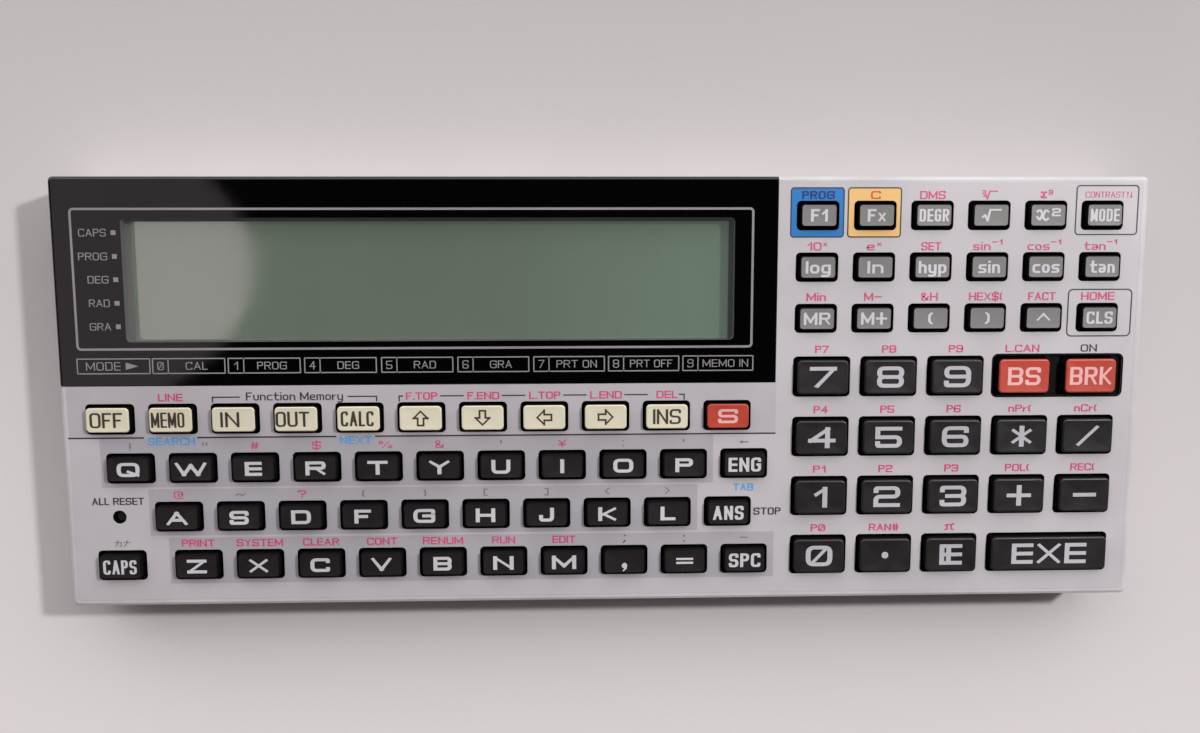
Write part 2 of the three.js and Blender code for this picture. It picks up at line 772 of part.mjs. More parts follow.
node('lower_case', lowerCase(), silverPaint);
node('upper_case', upperCase(), silverPaint);
node('face_plate', facePlate(), platedFace);
node('display_window', displayWindow(), blackGloss);
node('lcd_frame', lcdFrame(), blackSteel);
node('lcd_glass', lcdGlass(), displayGlass);
node('lcd_connector', lcdConnector(), darkRubber);
node('main_board', mainBoard(), boardGreen);
node('key_mat', keyMat(), darkRubber);
node('processor_chip', chip(processorChip, 0, chipRise), blackPlastic);
node('rom_chip', chip(romChip, 1, chipRise), blackPlastic);
node('ram_chip', chip(ramChip, 1, -chipDrop), blackPlastic);
node('main_cell_1', cell(mainCellRadius, mainCellHeight, firstCellX), cellSteel);
node('main_cell_2', cell(mainCellRadius, mainCellHeight, secondCellX), cellSteel);
node('backup_cell', cell(backupCellRadius, backupCellHeight, backupCellX), cellSteel);
node('cell_contact', cellContact(), sheetSteel);
node('port_socket', portSocket(), blackPlastic);
node('battery_cover', batteryCover(), silverPaint);
node('port_cover', portCover(), silverPaint);
node('reset_button', resetButton(), blackPlastic);
screwPlaces.forEach((place, i) => node(`case_screw_${i + 1}`, screw(place), sheetSteel));
keyNodes();

export default root;
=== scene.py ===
import math

import bpy
from mathutils import Matrix, Vector


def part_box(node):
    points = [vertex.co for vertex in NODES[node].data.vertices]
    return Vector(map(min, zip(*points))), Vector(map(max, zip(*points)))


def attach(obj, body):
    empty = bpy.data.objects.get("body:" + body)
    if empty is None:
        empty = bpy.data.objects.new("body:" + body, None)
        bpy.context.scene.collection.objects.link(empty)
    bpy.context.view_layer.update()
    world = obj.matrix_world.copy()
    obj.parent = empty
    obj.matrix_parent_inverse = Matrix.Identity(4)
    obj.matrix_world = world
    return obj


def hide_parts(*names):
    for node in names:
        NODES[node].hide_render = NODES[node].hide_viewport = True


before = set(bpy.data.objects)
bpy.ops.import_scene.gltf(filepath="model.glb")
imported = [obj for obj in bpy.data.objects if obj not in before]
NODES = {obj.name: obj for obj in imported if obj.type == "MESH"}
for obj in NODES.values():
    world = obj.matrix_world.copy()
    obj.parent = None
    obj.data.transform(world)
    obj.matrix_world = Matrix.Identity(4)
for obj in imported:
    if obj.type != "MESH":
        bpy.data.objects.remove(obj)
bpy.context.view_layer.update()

# Lengths in this script are in millimetres until a mesh is made. The frame is in metres.
MM = 0.001
SAME_LEVEL = 0.01
ALMOST_NOTHING = 1e-6
SMOOTH_ANGLE = math.radians(35)

# How the caps fill their apertures, by kind of key
LETTER = {"gap": 0.45, "draft": 0.12, "edge": 0.2, "corner": 0.7, "dish": 0.08}
SMALL = {"gap": 0.5, "draft": 0.15, "edge": 0.15, "corner": 0.6, "dish": 0.05}
NUMBER = {"gap": 0.4, "draft": 0.2, "edge": 0.25, "corner": 0.8, "dish": 0.1}
APERTURE_CORNER = 0.8
CAP_DROP = 0.05
CORNER_STEPS = 6
EDGE_STEPS = 4
DISH_RINGS = 5
HOLE_STEPS = 32
DISC_STEPS = 24
FLANGE_HEIGHT = 0.7
FLANGE_OVERLAP = 0.5
WEB_WIDTH = 2.4
SLEEVE = 0.05
SLEEVE_SINK = 0.03
BREAK_WELL_MARGIN = 1.0

# Printing
BAND_RISE = 0.012
INK_RISE = 0.026
INK_STEP = 0.0015
INK_STEPS = 8
PARTS_A_STEP = 3
MITRE_LIMIT = 1.8
DOT_SHARE = 0.1
ROUND_STEPS = 5
SHORTEST_SIDE = 0.004
SHARP_TURN = math.radians(95)
BAR_SHARE = 0.76


def corners(node):
    """The lowest and highest corner of a CAD node, in millimetres."""
    low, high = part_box(node)
    return low / MM, high / MM


plate_low, plate_high = corners("face_plate")
window_low, window_high = corners("display_window")
FACE = plate_high.z
DECK_TOP = plate_low.z
FLANGE_BOTTOM = corners("upper_letter_keys")[0].z
DECK_BOTTOM = FLANGE_BOTTOM + FLANGE_HEIGHT


# Materials

def linear(color):
    """An sRGB colour from 0 to 255, as the linear RGBA that a shader takes."""
    def one(c):
        s = c / 255
        return s / 12.92 if s <= 0.04045 else ((s + 0.055) / 1.055) ** 2.4
    return (*(one(c) for c in color), 1.0)


def scaled(color, share):
    """An sRGB colour made darker or lighter."""
    return tuple(min(255, c * share) for c in color)


def settings(node, **values):
    """Sets a node's sockets. A low line in a name stands for a space."""
    for name, value in values.items():
        node.inputs[name.replace("_", " ")].default_value = value


def noise(tree, coordinate, scale, detail=3.0, roughness=0.5):
    """A cloudy value from 0 to 1 over a coordinate."""
    node = tree.nodes.new("ShaderNodeTexNoise")
    settings(node, Scale=scale, Detail=detail, Roughness=roughness)
    tree.links.new(coordinate, node.inputs["Vector"])
    return node.outputs["Fac"]


def span(tree, value, low, high, from_low=0.35, from_high=0.65):
    """A value from a noise or a coordinate, spread between two numbers."""
    node = tree.nodes.new("ShaderNodeMapRange")
    settings(node, From_Min=from_low, From_Max=from_high, To_Min=low, To_Max=high)
    tree.links.new(value, node.inputs["Value"])
    return node.outputs["Result"]


def blend_colors(tree, factor, first, second):
    """A colour between two linear ones."""
    node = tree.nodes.new("ShaderNodeMix")
    node.data_type = "RGBA"
    tree.links.new(factor, node.inputs["Factor"])
    for name, color in (("A", first), ("B", second)):
        socket = next(s for s in node.inputs if s.name == name and s.type == "RGBA")
        socket.default_value = color
    return next(s for s in node.outputs if s.type == "RGBA")


def surface(name, color, roughness, blotch=0.04, spread=0.06, blotch_scale=60.0,
            grain_scale=2600.0, grain_depth=0.01, **sockets):
    """A moulded, painted or printed surface: blotched colour, uneven gloss and a fine grain."""
    made = bpy.data.materials.new(name)
    made.use_nodes = True
    tree = made.node_tree
    shader = tree.nodes["Principled BSDF"]
    place = tree.nodes.new("ShaderNodeTexCoord").outputs["Object"]
    cloud = noise(tree, place, blotch_scale)
    factor = span(tree, cloud, 0.0, 1.0)
    mixed = blend_colors(
        tree, factor, linear(scaled(color, 1 - blotch)), linear(scaled(color, 1 + blotch)))
    tree.links.new(mixed, shader.inputs["Base Color"])
    wear = noise(tree, place, blotch_scale * 4, detail=5.0, roughness=0.6)
    tree.links.new(span(tree, wear, roughness - spread, roughness + spread),
                   shader.inputs["Roughness"])
    if grain_depth:
        bump = tree.nodes.new("ShaderNodeBump")
        settings(bump, Strength=1.0, Distance=grain_depth * MM)
        tree.links.new(noise(tree, place, grain_scale, detail=2.0), bump.inputs["Height"])
        tree.links.new(bump.outputs["Normal"], shader.inputs["Normal"])
    settings(shader, **sockets)
    return made


CASE_PAINT = surface("case_paint", (192, 187, 189), 0.42, grain_depth=0.02)
FACE_PAINT = surface("face_paint", (188, 182, 185), 0.5, 0.02, grain_depth=0.015)
ROW_TONE = surface("row_tone", (169, 163, 169), 0.5, 0.02, grain_depth=0.012)
FUNCTION_TONE = surface("function_tone", (178, 172, 176), 0.5, 0.02, grain_depth=0.012)
BLUE_LABEL = surface("blue_label", (0, 114, 186), 0.5, 0.03)
ORANGE_LABEL = surface("orange_label", (232, 184, 112), 0.5, 0.03)
BLACK_GLOSS = surface("black_gloss", (4, 4, 5), 0.05, 0.1, 0.02, grain_depth=0)
FRAME_DARK = (12, 12, 13)
# The frame's pale colour at its left end is a painted highlight
FRAME_PAINTED_HIGHLIGHT = (100, 97, 95)
FRAME_BLACK = surface("frame_black", FRAME_DARK, 0.5, 0.1)
KEY_BLACK = surface("key_black", (32, 27, 29), 0.42, 0.06, grain_depth=0.012,
                    Specular_IOR_Level=0.4)
KEY_GREY = surface("key_grey", (118, 114, 113), 0.5, 0.03)
KEY_CREAM = surface("key_cream", (215, 207, 182), 0.5, 0.02)
KEY_RED = surface("key_red", (179, 61, 43), 0.45, 0.03)
# Black plastic with painted shade, for the gaps, the keys' walls and edges, and the sleeves and
# liners in the apertures
BLACK_AND_SHADE = surface("black_and_painted_shade", (8, 7, 8), 0.6, 0.1, grain_depth=0.02,
                    Specular_IOR_Level=0.1)
# Grey for the display opening's inner wall: a painted highlight for the light the wall catches
WINDOW_EDGE_HIGHLIGHT = surface("window_edge_painted_highlight", (80, 76, 78), 0.5)
RUBBER = surface("rubber", (38, 38, 41), 0.8, 0.08, grain_depth=0.03)
INK_PANEL = surface("ink_panel", (142, 137, 140), 0.4, grain_depth=0)
STEEL = surface("steel", (176, 177, 180), 0.32, 0.05, 0.1, 90.0, 1800.0, 0.008, Metallic=1.0)
CELL_STEEL = surface("cell_steel", (200, 202, 205), 0.24, 0.03, 0.08, 90.0, 1500.0, 0.006,
                     Metallic=1.0)
BOARD = surface("board", (34, 92, 56), 0.45, 0.12, 0.1, 500.0, 900.0, 0.03)
CHIP = surface("chip", (36, 35, 37), 0.55, 0.08, 0.05, 200.0, 3000.0, 0.02)
LCD_LEFT = (75, 86, 70)
LCD_RIGHT = (87, 111, 92)
# The display glows a little, though it has no light of its own: painted light that lifts the
# shadow its frame casts on it
LCD = surface("lcd", LCD_LEFT, 0.07, 0.02, 0.02, 25.0, grain_depth=0, IOR=2.9,
              Emission_Color=linear((51, 59, 48)), Emission_Strength=1.0)
CLEAR = surface("clear_pane", (200, 208, 206), 0.06, 0.02, 0.02, grain_depth=0, Alpha=0.04)


def ink(name, color, blotch=0.04):
    """A matt printing ink."""
    return surface("ink_" + name, color, 0.5, blotch, grain_depth=0.008)


INK_WHITE = ink("white", (197, 192, 196), 0.03)
INK_NUMBER = ink("number", (180, 175, 180), 0.03)
INK_PALE = ink("pale", (226, 168, 166), 0.03)
INK_BROWN = ink("brown", (62, 48, 42), 0.06)
INK_PINK = ink("pink", (204, 66, 112))
INK_BLUE = ink("blue", (84, 158, 216))
INK_DARK = ink("dark", (50, 45, 50), 0.06)
INK_SHADE = ink("shade", (122, 114, 118), 0.05)
INK_DEEP_BLUE = ink("deep_blue", (6, 30, 100))
INK_ORANGE = ink("orange", (216, 84, 36))


def grade(material, axis, start, end, near, far):
    """Blends a material's colour along an axis, from one place to another in millimetres."""
    tree = material.node_tree
    place = tree.nodes.new("ShaderNodeTexCoord").outputs["Object"]
    along = tree.nodes.new("ShaderNodeVectorMath")
    along.operation = "DOT_PRODUCT"
    along.inputs[1].default_value = axis
    tree.links.new(place, along.inputs[0])
    factor = span(tree, along.outputs["Value"], 0.0, 1.0, start * MM, end * MM)
    shader = tree.nodes["Principled BSDF"]
    tree.links.new(blend_colors(tree, factor, linear(near), linear(far)),
                   shader.inputs["Base Color"])


# The display is greener to the right. Its frame is painted pale at the left: a painted highlight
# where it would catch light
LCD_TURN = (-20, 25)
FRAME_TURN = (window_low.x + 13, window_low.x + 16)
grade(LCD, (1, 0, 0), *LCD_TURN, LCD_LEFT, LCD_RIGHT)
grade(FRAME_BLACK, (1, 0, 0), *FRAME_TURN, FRAME_PAINTED_HIGHLIGHT, FRAME_DARK)


def dress(material, slot, *nodes):
    """Gives carried-over CAD nodes their material."""
    for node in nodes:
        target = NODES[node]
        target.data.materials.clear()
        target.data.materials.append(material)


# Meshes

def ring(low_x, high_x, low_y, high_y, z, radii):
    """A rectangle's outline with rounded corners, from the upper right one anticlockwise."""
    if not hasattr(radii, "__len__"):
        radii = (radii,) * 4
    turns = ((high_x, high_y, 1, 1), (low_x, high_y, -1, 1),
             (low_x, low_y, -1, -1), (high_x, low_y, 1, -1))
    points = []
    for quarter, ((x, y, sx, sy), radius) in enumerate(zip(turns, radii)):
        for step in range(CORNER_STEPS + 1):
            angle = (quarter + step / CORNER_STEPS) * math.pi / 2
            points.append((x - sx * radius + radius * math.cos(angle),
                           y - sy * radius + radius * math.sin(angle), z))
    return points


def centred(x, y, half_x, half_y, z, corner):
    """A rounded rectangle round a centre."""
    return ring(x - half_x, x + half_x, y - half_y, y + half_y, z, corner)


def flat_ring(low_x, high_x, low_y, high_y, corner):
    """A rounded rectangle in the plane."""
    return [p[:2] for p in ring(low_x, high_x, low_y, high_y, 0, corner)]


def circle(x, y, radius, steps):
    """A circle in the plane."""
    angles = (i * math.tau / steps for i in range(steps))
    return [(x + radius * math.cos(a), y + radius * math.sin(a)) for a in angles]


def placed(name, data):
    """A new object in the scene."""
    made = bpy.data.objects.new(name, data)
    bpy.context.scene.collection.objects.link(made)
    return made


class Shape:
    """Points in millimetres, and faces with the number of their material."""

    def __init__(self):
        self.points = []
        self.faces = []
        self.marks = []

    def add(self, points):
        """Adds points, and gives the number of the first one."""
        start = len(self.points)
        self.points.extend(points)
        return start

    def face(self, indices, mark):
        self.faces.append(tuple(indices))
        self.marks.append(mark)

    def loft(self, rings, mark=0, bottom=True, top=True, around=False):
        """Walls between rings of the same count, closed at the ends or into each other."""
        count = len(rings[0])
        starts = [self.add(points) for points in rings]
        pairs = list(zip(starts, starts[1:]))
        if around:
            pairs.append((starts[-1], starts[0]))
        for a, b in pairs:
            for i in range(count):
                j = (i + 1) % count
                self.face((a + i, a + j, b + j, b + i), mark)
        if bottom and not around:
            self.face(reversed(range(starts[0], starts[0] + count)), mark)
        if top and not around:
            self.face(range(starts[-1], starts[-1] + count), mark)

    def block(self, low, high, mark=0):
        """A box between two corners."""
        (x0, y0, z0), (x1, y1, z1) = low, high
        square = [(x1, y1), (x0, y1), (x0, y0), (x1, y0)]
        self.loft([[(x, y, z) for x, y in square] for z in (z0, z1)], mark)

    def prism(self, outline, low, high, mark=0):
        """An upright body over an outline, from one height to another."""
        self.loft([[(x, y, z) for x, y in outline] for z in (low, high)], mark)

    def piece(self, name, materials, body, slot, replaces=()):
        """Makes the shape a piece on a body."""
        mesh = bpy.data.meshes.new(name)
        mesh.from_pydata([[c * MM for c in p] for p in self.points], [], self.faces)
        for material in materials:
            mesh.materials.append(material)
        mesh.polygons.foreach_set("material_index", self.marks)
        return finished(mesh, name, body, slot, replaces)


def finished(mesh, name, body, slot=None, replaces=()):
    """Smooths a mesh up to its sharp edges and puts it on its body."""
    mesh.shade_smooth()
    mesh.set_sharp_from_angle(angle=SMOOTH_ANGLE)
    made = placed(name, mesh)
    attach(made, body)
    if replaces:
        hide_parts(*replaces)
    return made


def sheet(name, outlines, low, high, material, ease=0.0, slot=None, replaces=()):
    """A flat sheet inside the first outline and outside the others, with eased edges."""
    curve = bpy.data.curves.new(name, "CURVE")
    curve.dimensions = "2D"
    curve.fill_mode = "BOTH"
    curve.extrude = (high - low) / 2 * MM - ease * MM
    curve.bevel_depth = ease * MM
    curve.bevel_resolution = 2
    curve.offset = -ease * MM
    for outline in outlines:
        spline = curve.splines.new("POLY")
        spline.points.add(len(outline) - 1)
        for point, place in zip(spline.points, outline):
            point.co = (place[0] * MM, place[1] * MM, 0.0, 1.0)
        spline.use_cyclic_u = True
    holder = placed(name + "_curve", curve)
    mesh = bpy.data.meshes.new_from_object(
        holder.evaluated_get(bpy.context.evaluated_depsgraph_get()))
    bpy.data.objects.remove(holder)
    bpy.data.curves.remove(curve)
    mesh.name = name
    mesh.transform(Matrix.Translation((0, 0, (low + high) / 2 * MM)))
    mesh.materials.clear()
    mesh.materials.append(material)
    return finished(mesh, name, "root", slot, replaces)


# Lettering. A glyph is strokes of points on a grid, two digits a point, x then y. Capitals stand
# on height 2 and reach 8, small letters reach 6 and hang down to 0. A wave before a stroke rounds
# its corners, and a stroke of one point is a dot. Letters after a bar in a word are small and
# raised.
GLYPHS = {
    "A": "022842 1434", "B": "0208 ~08484505 ~05454202", "C": "~474808024243",
    "D": "0208 ~08484202", "E": "48080242 0545", "F": "480802 0535",
    "G": "~474808024244 254544", "H": "0208 4248 0545", "I": "0208", "J": "~48420204",
    "K": "0208 4804 1542", "L": "080242", "M": "0208234842", "N": "02084248",
    "O": "~0208484202", "P": "0208 ~08484505", "Q": "~0208484202 2442",
    "R": "0208 ~08484505 2542", "S": "~4748080545420203", "T": "0848 2822",
    "U": "~08024248", "V": "082248", "W": "0812273248", "X": "0248 0842",
    "Y": "082548 2522", "Z": "08480242",
    "0": "~0208484202", "Ø": "~0208484202 1337", "1": "062822", "2": "~070848450502 0242",
    "3": "~0708484515 ~1545420203", "4": "32380444", "5": "480805 ~0545420203",
    "6": "~47480802424505", "7": "084812", "8": "~0508484505 ~0502424505",
    "9": "~45050848420203",
    "a": "~063632020434", "c": "~36060232", "e": "~043436060232", "g": "~36060232 ~363000",
    "h": "0802 ~063632", "i": "0602 08", "l": "0802", "m": "0602 ~062622 ~264642",
    "n": "0602 ~063632", "o": "~0636320206", "p": "0600 ~06363202", "r": "0602 ~0426",
    "s": "~360604343202", "t": "~181232 0636", "u": "~06023236", "x": "0236 0632",
    "y": "~060232 ~363000",
    "+": "0545 2228", "-": "0545", "*": "2228 0347 0743", "/": "0248", "=": "0444 0646",
    "<": "380532", ">": "083502", "(": "~18070312", ")": "~08171302", "[": "28080222",
    "]": "08282202", "^": "042744", "!": "0804 02", '"': "0806 2826",
    "'": "0806", ":": "02 07", ";": "18 13 1301", ".": "02",
    "?": "~070848452524 22", "@": "~420208484424242646", "#": "1218 3238 0444 0646",
    "$": "~4748080545420203 2921", "%": "1238 ~0608181606 ~3234444232",
    "&": "~420608282604023245", "¥": "082548 2522 0444", "~": "~04163446",
    "√": "0415223878", "π": "~06174748 ~17161202 ~373242", "←": "0545 160514",
    "É": "88080282 3238 0585", "χ": "~0718261204 ~4738243243",
    "ɢ": "~474808024245 3545",
    "カ": "0646 ~464232 ~282502", "ナ": "0646 ~282502",
}
# An outlined arrow that points up, and the cosine and sine of each arrow key's turn
ARROW = ((0, 3), (-3, 0), (-1.2, 0), (-1.2, -3), (1.2, -3), (1.2, 0), (3, 0))
ARROW_TURNS = {"key_up": (1, 0), "key_left": (0, 1), "key_down": (-1, 0), "key_right": (0, -1)}
ARROW_UNIT = 0.43
# How wide a glyph stands for its grid
WIDTHS = {"W": 1.55, "M": 1.25, "Q": 1.1, "G": 1.1, "A": 1.1, "E": 0.85, "F": 0.82, "L": 0.75,
          "J": 0.78, "É": 0.5, "K": 0.95, "P": 0.9, "√": 0.9, "@": 1.2, "m": 1.1}
LETTER_GAP = 1.7
CLEAR_SHARE = 1.6
SPACE = 0.9
RAISED = 0.6
RAISED_STROKE = 0.85
RAISED_LIFT = 0.12
CAP_GRID = 6.0
MID_GRID = 5.0
CORNER_REACH = 1.4


def flat(height):
    """A level surface at one height, for lettering."""
    return lambda x, y: height


def opened(points):
    """A line's points, without the last one if it meets the first, and whether it does."""
    shut = len(points) > 2 and (points[0] - points[-1]).length < SHORTEST_SIDE
    return (points[:-1] if shut else points), shut


def rounded(points, reach):
    """Points with every corner turned into an arc that starts reach before it."""
    points, shut = opened([Vector(p) for p in points])
    count = len(points)
    made = []
    for i, here in enumerate(points):
        if not shut and i in (0, count - 1):
            made.append(here)
            continue
        before = points[i - 1] - here
        after = points[(i + 1) % count] - here
        near = min(reach, before.length * 0.5, after.length * 0.5)
        start = here + before.normalized() * near
        end = here + after.normalized() * near
        for step in range(ROUND_STEPS + 1):
            t = step / ROUND_STEPS
            made.append(start * (1 - t) ** 2 + here * 2 * t * (1 - t) + end * t ** 2)
    if shut:
        made.append(made[0].copy())
    return made


def at_corners(points):
    """A line of points, cut into parts wherever it turns sharply."""
    points, shut = opened(points)
    count = len(points)
    sharp = []
    for i in range(count):
        if shut or 0 < i < count - 1:
            into = points[i] - points[i - 1]
            out = points[(i + 1) % count] - points[i]
            if into.angle(out) > SHARP_TURN:
                sharp.append(i)
    if not sharp:
        return [points + points[:1]] if shut else [points]
    if shut:
        points = points[sharp[0]:] + points[:sharp[0] + 1]
        sharp = [i - sharp[0] for i in sharp[1:]]
    cuts = [0, *sharp, len(points) - 1]
    return [points[a:b + 1] for a, b in zip(cuts, cuts[1:])]


def ribbon(shape, points, width, level, rise, mark, squash=1.0):
    """A raised line along points, with square ends. Squash is how thick its level parts are."""
    spots = [Vector((p[0], p[1] / squash)) for p in points]
    points = spots[:1]
    for spot in spots[1:]:
        if (spot - points[-1]).length > SHORTEST_SIDE:
            points.append(spot)
    half = width / 2
    if len(points) == 1:
        dot = Vector((half * DOT_SHARE, 0))
        points = [points[0] - dot, points[0] + dot]
    low_x, high_x = min(p.x for p in points) - half, max(p.x for p in points) + half
    low_y, high_y = min(p.y for p in points) - half, max(p.y for p in points) + half
    for number, part in enumerate(at_corners(points)):
        left, right = sides(part, half)
        edge = [(min(max(p.x, low_x), high_x), min(max(p.y, low_y), high_y) * squash)
                for p in left + right]
        strip(shape, edge, len(left) < len(part), level,
              rise + INK_STEP * number / PARTS_A_STEP, mark)


def sides(points, half):
    """The left and right edges of a line, half its width away. A closed line has no ends."""
    points, shut = opened(points)
    count = len(points)
    left, right = [], []
    for i, here in enumerate(points):
        into = here - points[i - 1] if shut or i else points[1] - here
        out = points[(i + 1) % count] - here if shut or i + 1 < count else here - points[i - 1]
        into, out = into.normalized(), out.normalized()
        along = into + out
        along = along.normalized() if along.length > ALMOST_NOTHING else into
        side = Vector((-along.y, along.x))
        reach = half / max(side.dot(Vector((-into.y, into.x))), 1 / MITRE_LIMIT)
        shift = Vector((0, 0))
        if not shut and i == 0:
            shift = -out * half
        elif not shut and i == count - 1:
            shift = into * half
        left.append(here + shift + side * reach)
        right.append(here + shift - side * reach)
    return left, right


def strip(shape, edge, shut, level, rise, mark):
    """A low wall-sided strip between two edges, the left one first and then the right one."""
    count = len(edge) // 2
    low = [(x, y, level(x, y)) for x, y in edge]
    top = shape.add([(x, y, z + rise) for x, y, z in low])
    bottom = shape.add(low)
    for i in range(count if shut else count - 1):
        j = (i + 1) % count
        shape.face((top + i, top + count + i, top + count + j, top + j), mark)
        shape.face((bottom + i, top + i, top + j, bottom + j), mark)
        shape.face((bottom + count + j, top + count + j, top + count + i, bottom + count + i),
                   mark)
    if not shut:
        last = count - 1
        shape.face((bottom, bottom + count, top + count, top), mark)
        shape.face((bottom + last, top + last, top + count + last, bottom + count + last), mark)


def disc(shape, x, y, radius, level, mark):
    """A printed dot."""
    z = level(x, y)
    shape.prism(circle(x, y, radius, DISC_STEPS), z, z + INK_RISE, mark)


def write(shape, text, x, y, height, width, stroke, mark, level, slant=0.0,
          lifted=RAISED_LIFT):
    """Letters of one size, centred on x and y, width across in all."""
    cells = []
    size = 1.0
    for letter in text:
        if letter == "|":
            size = RAISED
            continue
        if letter == " ":
            cells.append(([], 0, SPACE, 1.0, size))
            continue
        strokes = GLYPHS[letter].split()
        columns = [int(c) for s in strokes for c in s.lstrip("~")[::2]]
        wide = WIDTHS.get(letter, 1.0) * size
        cells.append((strokes, min(columns), (max(columns) - min(columns)) * wide, wide, size))
    raw = sum(cell[2] for cell in cells)
    gaps = len(cells) - 1
    natural = (width - stroke) / max(raw + LETTER_GAP * gaps, 1.0)
    gap = max(LETTER_GAP * natural, stroke * CLEAR_SHARE)
    unit_x = (width - stroke - gap * gaps) / raw if raw else 0.0
    unit_y = (height - stroke) / CAP_GRID
    at = x - (width - stroke) / 2 if gaps or raw else x
    count = 0
    for strokes, first, across, wide, size in cells:
        thick = stroke if size == 1.0 else stroke * RAISED_STROKE
        lift = (1 - size) * height / 2 + (height * lifted if size < 1.0 else 0.0)
        for line in strokes:
            digits = line.lstrip("~")
            points = []
            for a, b in zip(digits[::2], digits[1::2]):
                up = (int(b) - MID_GRID) * unit_y * size + lift
                points.append((at + (int(a) - first) * wide * unit_x + slant * up, y + up))
            if line.startswith("~"):
                points = rounded(points, CORNER_REACH * (unit_x * wide + unit_y * size) / 2)
            ribbon(shape, points, thick, level, INK_RISE + INK_STEP * (count % INK_STEPS), mark,
                   BAR_SHARE)
            count += 1
        at += across * unit_x + gap


def cap_places(node):
    """The centre and half sizes of each cap's top face in a CAD key node, from left to right."""
    mesh = NODES[node].data
    top = max(v.co.z for v in mesh.vertices) - SAME_LEVEL * MM
    boxes = []
    for polygon in mesh.polygons:
        spots = [mesh.vertices[i].co for i in polygon.vertices]
        if min(p.z for p in spots) > top:
            xs = [p.x / MM for p in spots]
            ys = [p.y / MM for p in spots]
            boxes.append([min(xs), max(xs), min(ys), max(ys)])
    caps = []
    for box in sorted(boxes):
        if caps and box[0] < caps[-1][1] + SAME_LEVEL:
            last = caps[-1]
            last[1] = max(last[1], box[1])
            last[2] = min(last[2], box[2])
            last[3] = max(last[3], box[3])
        else:
            caps.append(box)
    return [((x0 + x1) / 2, (y0 + y1) / 2, (x1 - x0) / 2, (y1 - y0) / 2)
            for x0, x1, y0, y1 in caps]


# How far the words on the cream keys stand off the middle of their caps
WORD_SHIFTS = {"OFF": -0.2, "MEMO": -0.45, "IN": -0.6, "OUT": -0.6, "CALC": -0.2}
RAISED_ON_KEY = 0.02
# Legends taller than the others in their rows
TALLER = {"χ|2": 2.35, "^": 2.6}
LETTER_STROKE = 0.72


def single(letters, widths):
    """Legends of one letter each."""
    return [(letter, width, LETTER_STROKE) for letter, width in zip(letters, widths)]


UPPER_LEGENDS = single("QWERTYUIOP", (4.0, 5.7, 3.0, 3.6, 3.6, 3.8, 3.4, 0.6, 3.6, 3.2))
UPPER_LEGENDS.append(("ENɢ", 5.9, 0.56))
MIDDLE_LEGENDS = single("ASDFGHJKL", (3.9, 3.4, 3.5, 3.0, 3.9, 3.5, 2.7, 3.3, 2.7))
MIDDLE_LEGENDS.append(("ANS", 5.6, 0.56))
LOWER_LEGENDS = [("CAPS", 5.9, 0.46)]
LOWER_LEGENDS += single("ZXCVBNM", (3.5, 3.5, 3.5, 3.8, 3.3, 3.7, 4.4))
LOWER_LEGENDS += [("", 0, 0), ("=", 3.1, 0.5), ("SPC", 5.8, 0.56)]
BLACK = (LETTER, KEY_BLACK, "key_black", INK_WHITE, 2.7)
GREY = (SMALL, KEY_GREY, "key_grey", INK_WHITE, 2.3)
RED = (KEY_RED, "key_red", INK_PALE)
# Each key node's kind, plastic, record slot, ink, legend height and legends. A legend is its word,
# width and stroke.
KEY_ROWS = {
    "upper_letter_keys": (*BLACK, UPPER_LEGENDS),
    "middle_letter_keys": (*BLACK, MIDDLE_LEGENDS),
    "lower_letter_keys": (*BLACK, LOWER_LEGENDS),
    "upper_small_keys": (*GREY, [
        ("F1", 3.0, 0.5), ("Fx", 3.3, 0.5), ("DEɢR", 5.3, 0.42), ("√", 3.6, 0.42),
        ("χ|2", 4.5, 0.44), ("MODE", 5.2, 0.4)]),
    "middle_small_keys": (*GREY, [
        ("log", 4.5, 0.48), ("ln", 2.9, 0.48), ("hyp", 5.0, 0.48), ("sin", 3.9, 0.46),
        ("cos", 4.9, 0.48), ("tan", 4.5, 0.46)]),
    "lower_small_keys": (*GREY, [
        ("MR", 4.8, 0.48), ("M+", 4.7, 0.48), ("(", 0.9, 0.44), (")", 0.9, 0.44),
        ("^", 2.6, 0.48), ("CLS", 4.8, 0.46)]),
}
for word, name, width in (("OFF", "off", 5.7), ("MEMO", "memo", 5.8), ("IN", "in", 3.3),
                          ("OUT", "out", 5.9), ("CALC", "calc", 5.8), ("", "up", 0),
                          ("", "down", 0), ("", "left", 0), ("", "right", 0),
                          ("INS", "insert", 5.0)):
    KEY_ROWS[f"key_{name}"] = (
        LETTER, KEY_CREAM, "key_cream", INK_BROWN, 2.8,
        [(word, width, 0.37 if word == "MEMO" else 0.43)])
KEY_ROWS["key_shift"] = (LETTER, *RED, 2.7, [("S", 3.6, 0.62)])
DIGITS = "789456123"
for word, name, width in (*zip(DIGITS, DIGITS, (4.9, 4.9, 4.9, 5.0, 4.9, 4.9, 2.5, 4.9, 4.9)),
                          ("Ø", "0", 4.9), ("*", "multiply", 3.9), ("/", "divide", 4.2),
                          ("+", "plus", 4.5), ("-", "minus", 4.3), ("É", "exponent", 4.2),
                          ("", "point", 0), ("EXE", "execute", 13.9)):
    KEY_ROWS[f"key_{name}"] = (
        NUMBER, KEY_BLACK, "key_black", INK_NUMBER, 4.05, [(word, width, 0.9)])
KEY_ROWS["key_backspace"] = (NUMBER, *RED, 3.4, [("BS", 6.0, 0.66)])
KEY_ROWS["key_break"] = (NUMBER, *RED, 3.4, [("BRK", 7.7, 0.62)])


KEY_PLACES = {node: cap_places(node) for node in KEY_ROWS}


def key_x(node, index=0):
    return KEY_PLACES[node][index][0]


def key_y(node):
    return KEY_PLACES[node][0][1]


# The numbers of a cap's materials. The second is black with painted shade.
PLASTIC, PAINTED_SHADE, LEGEND = range(3)


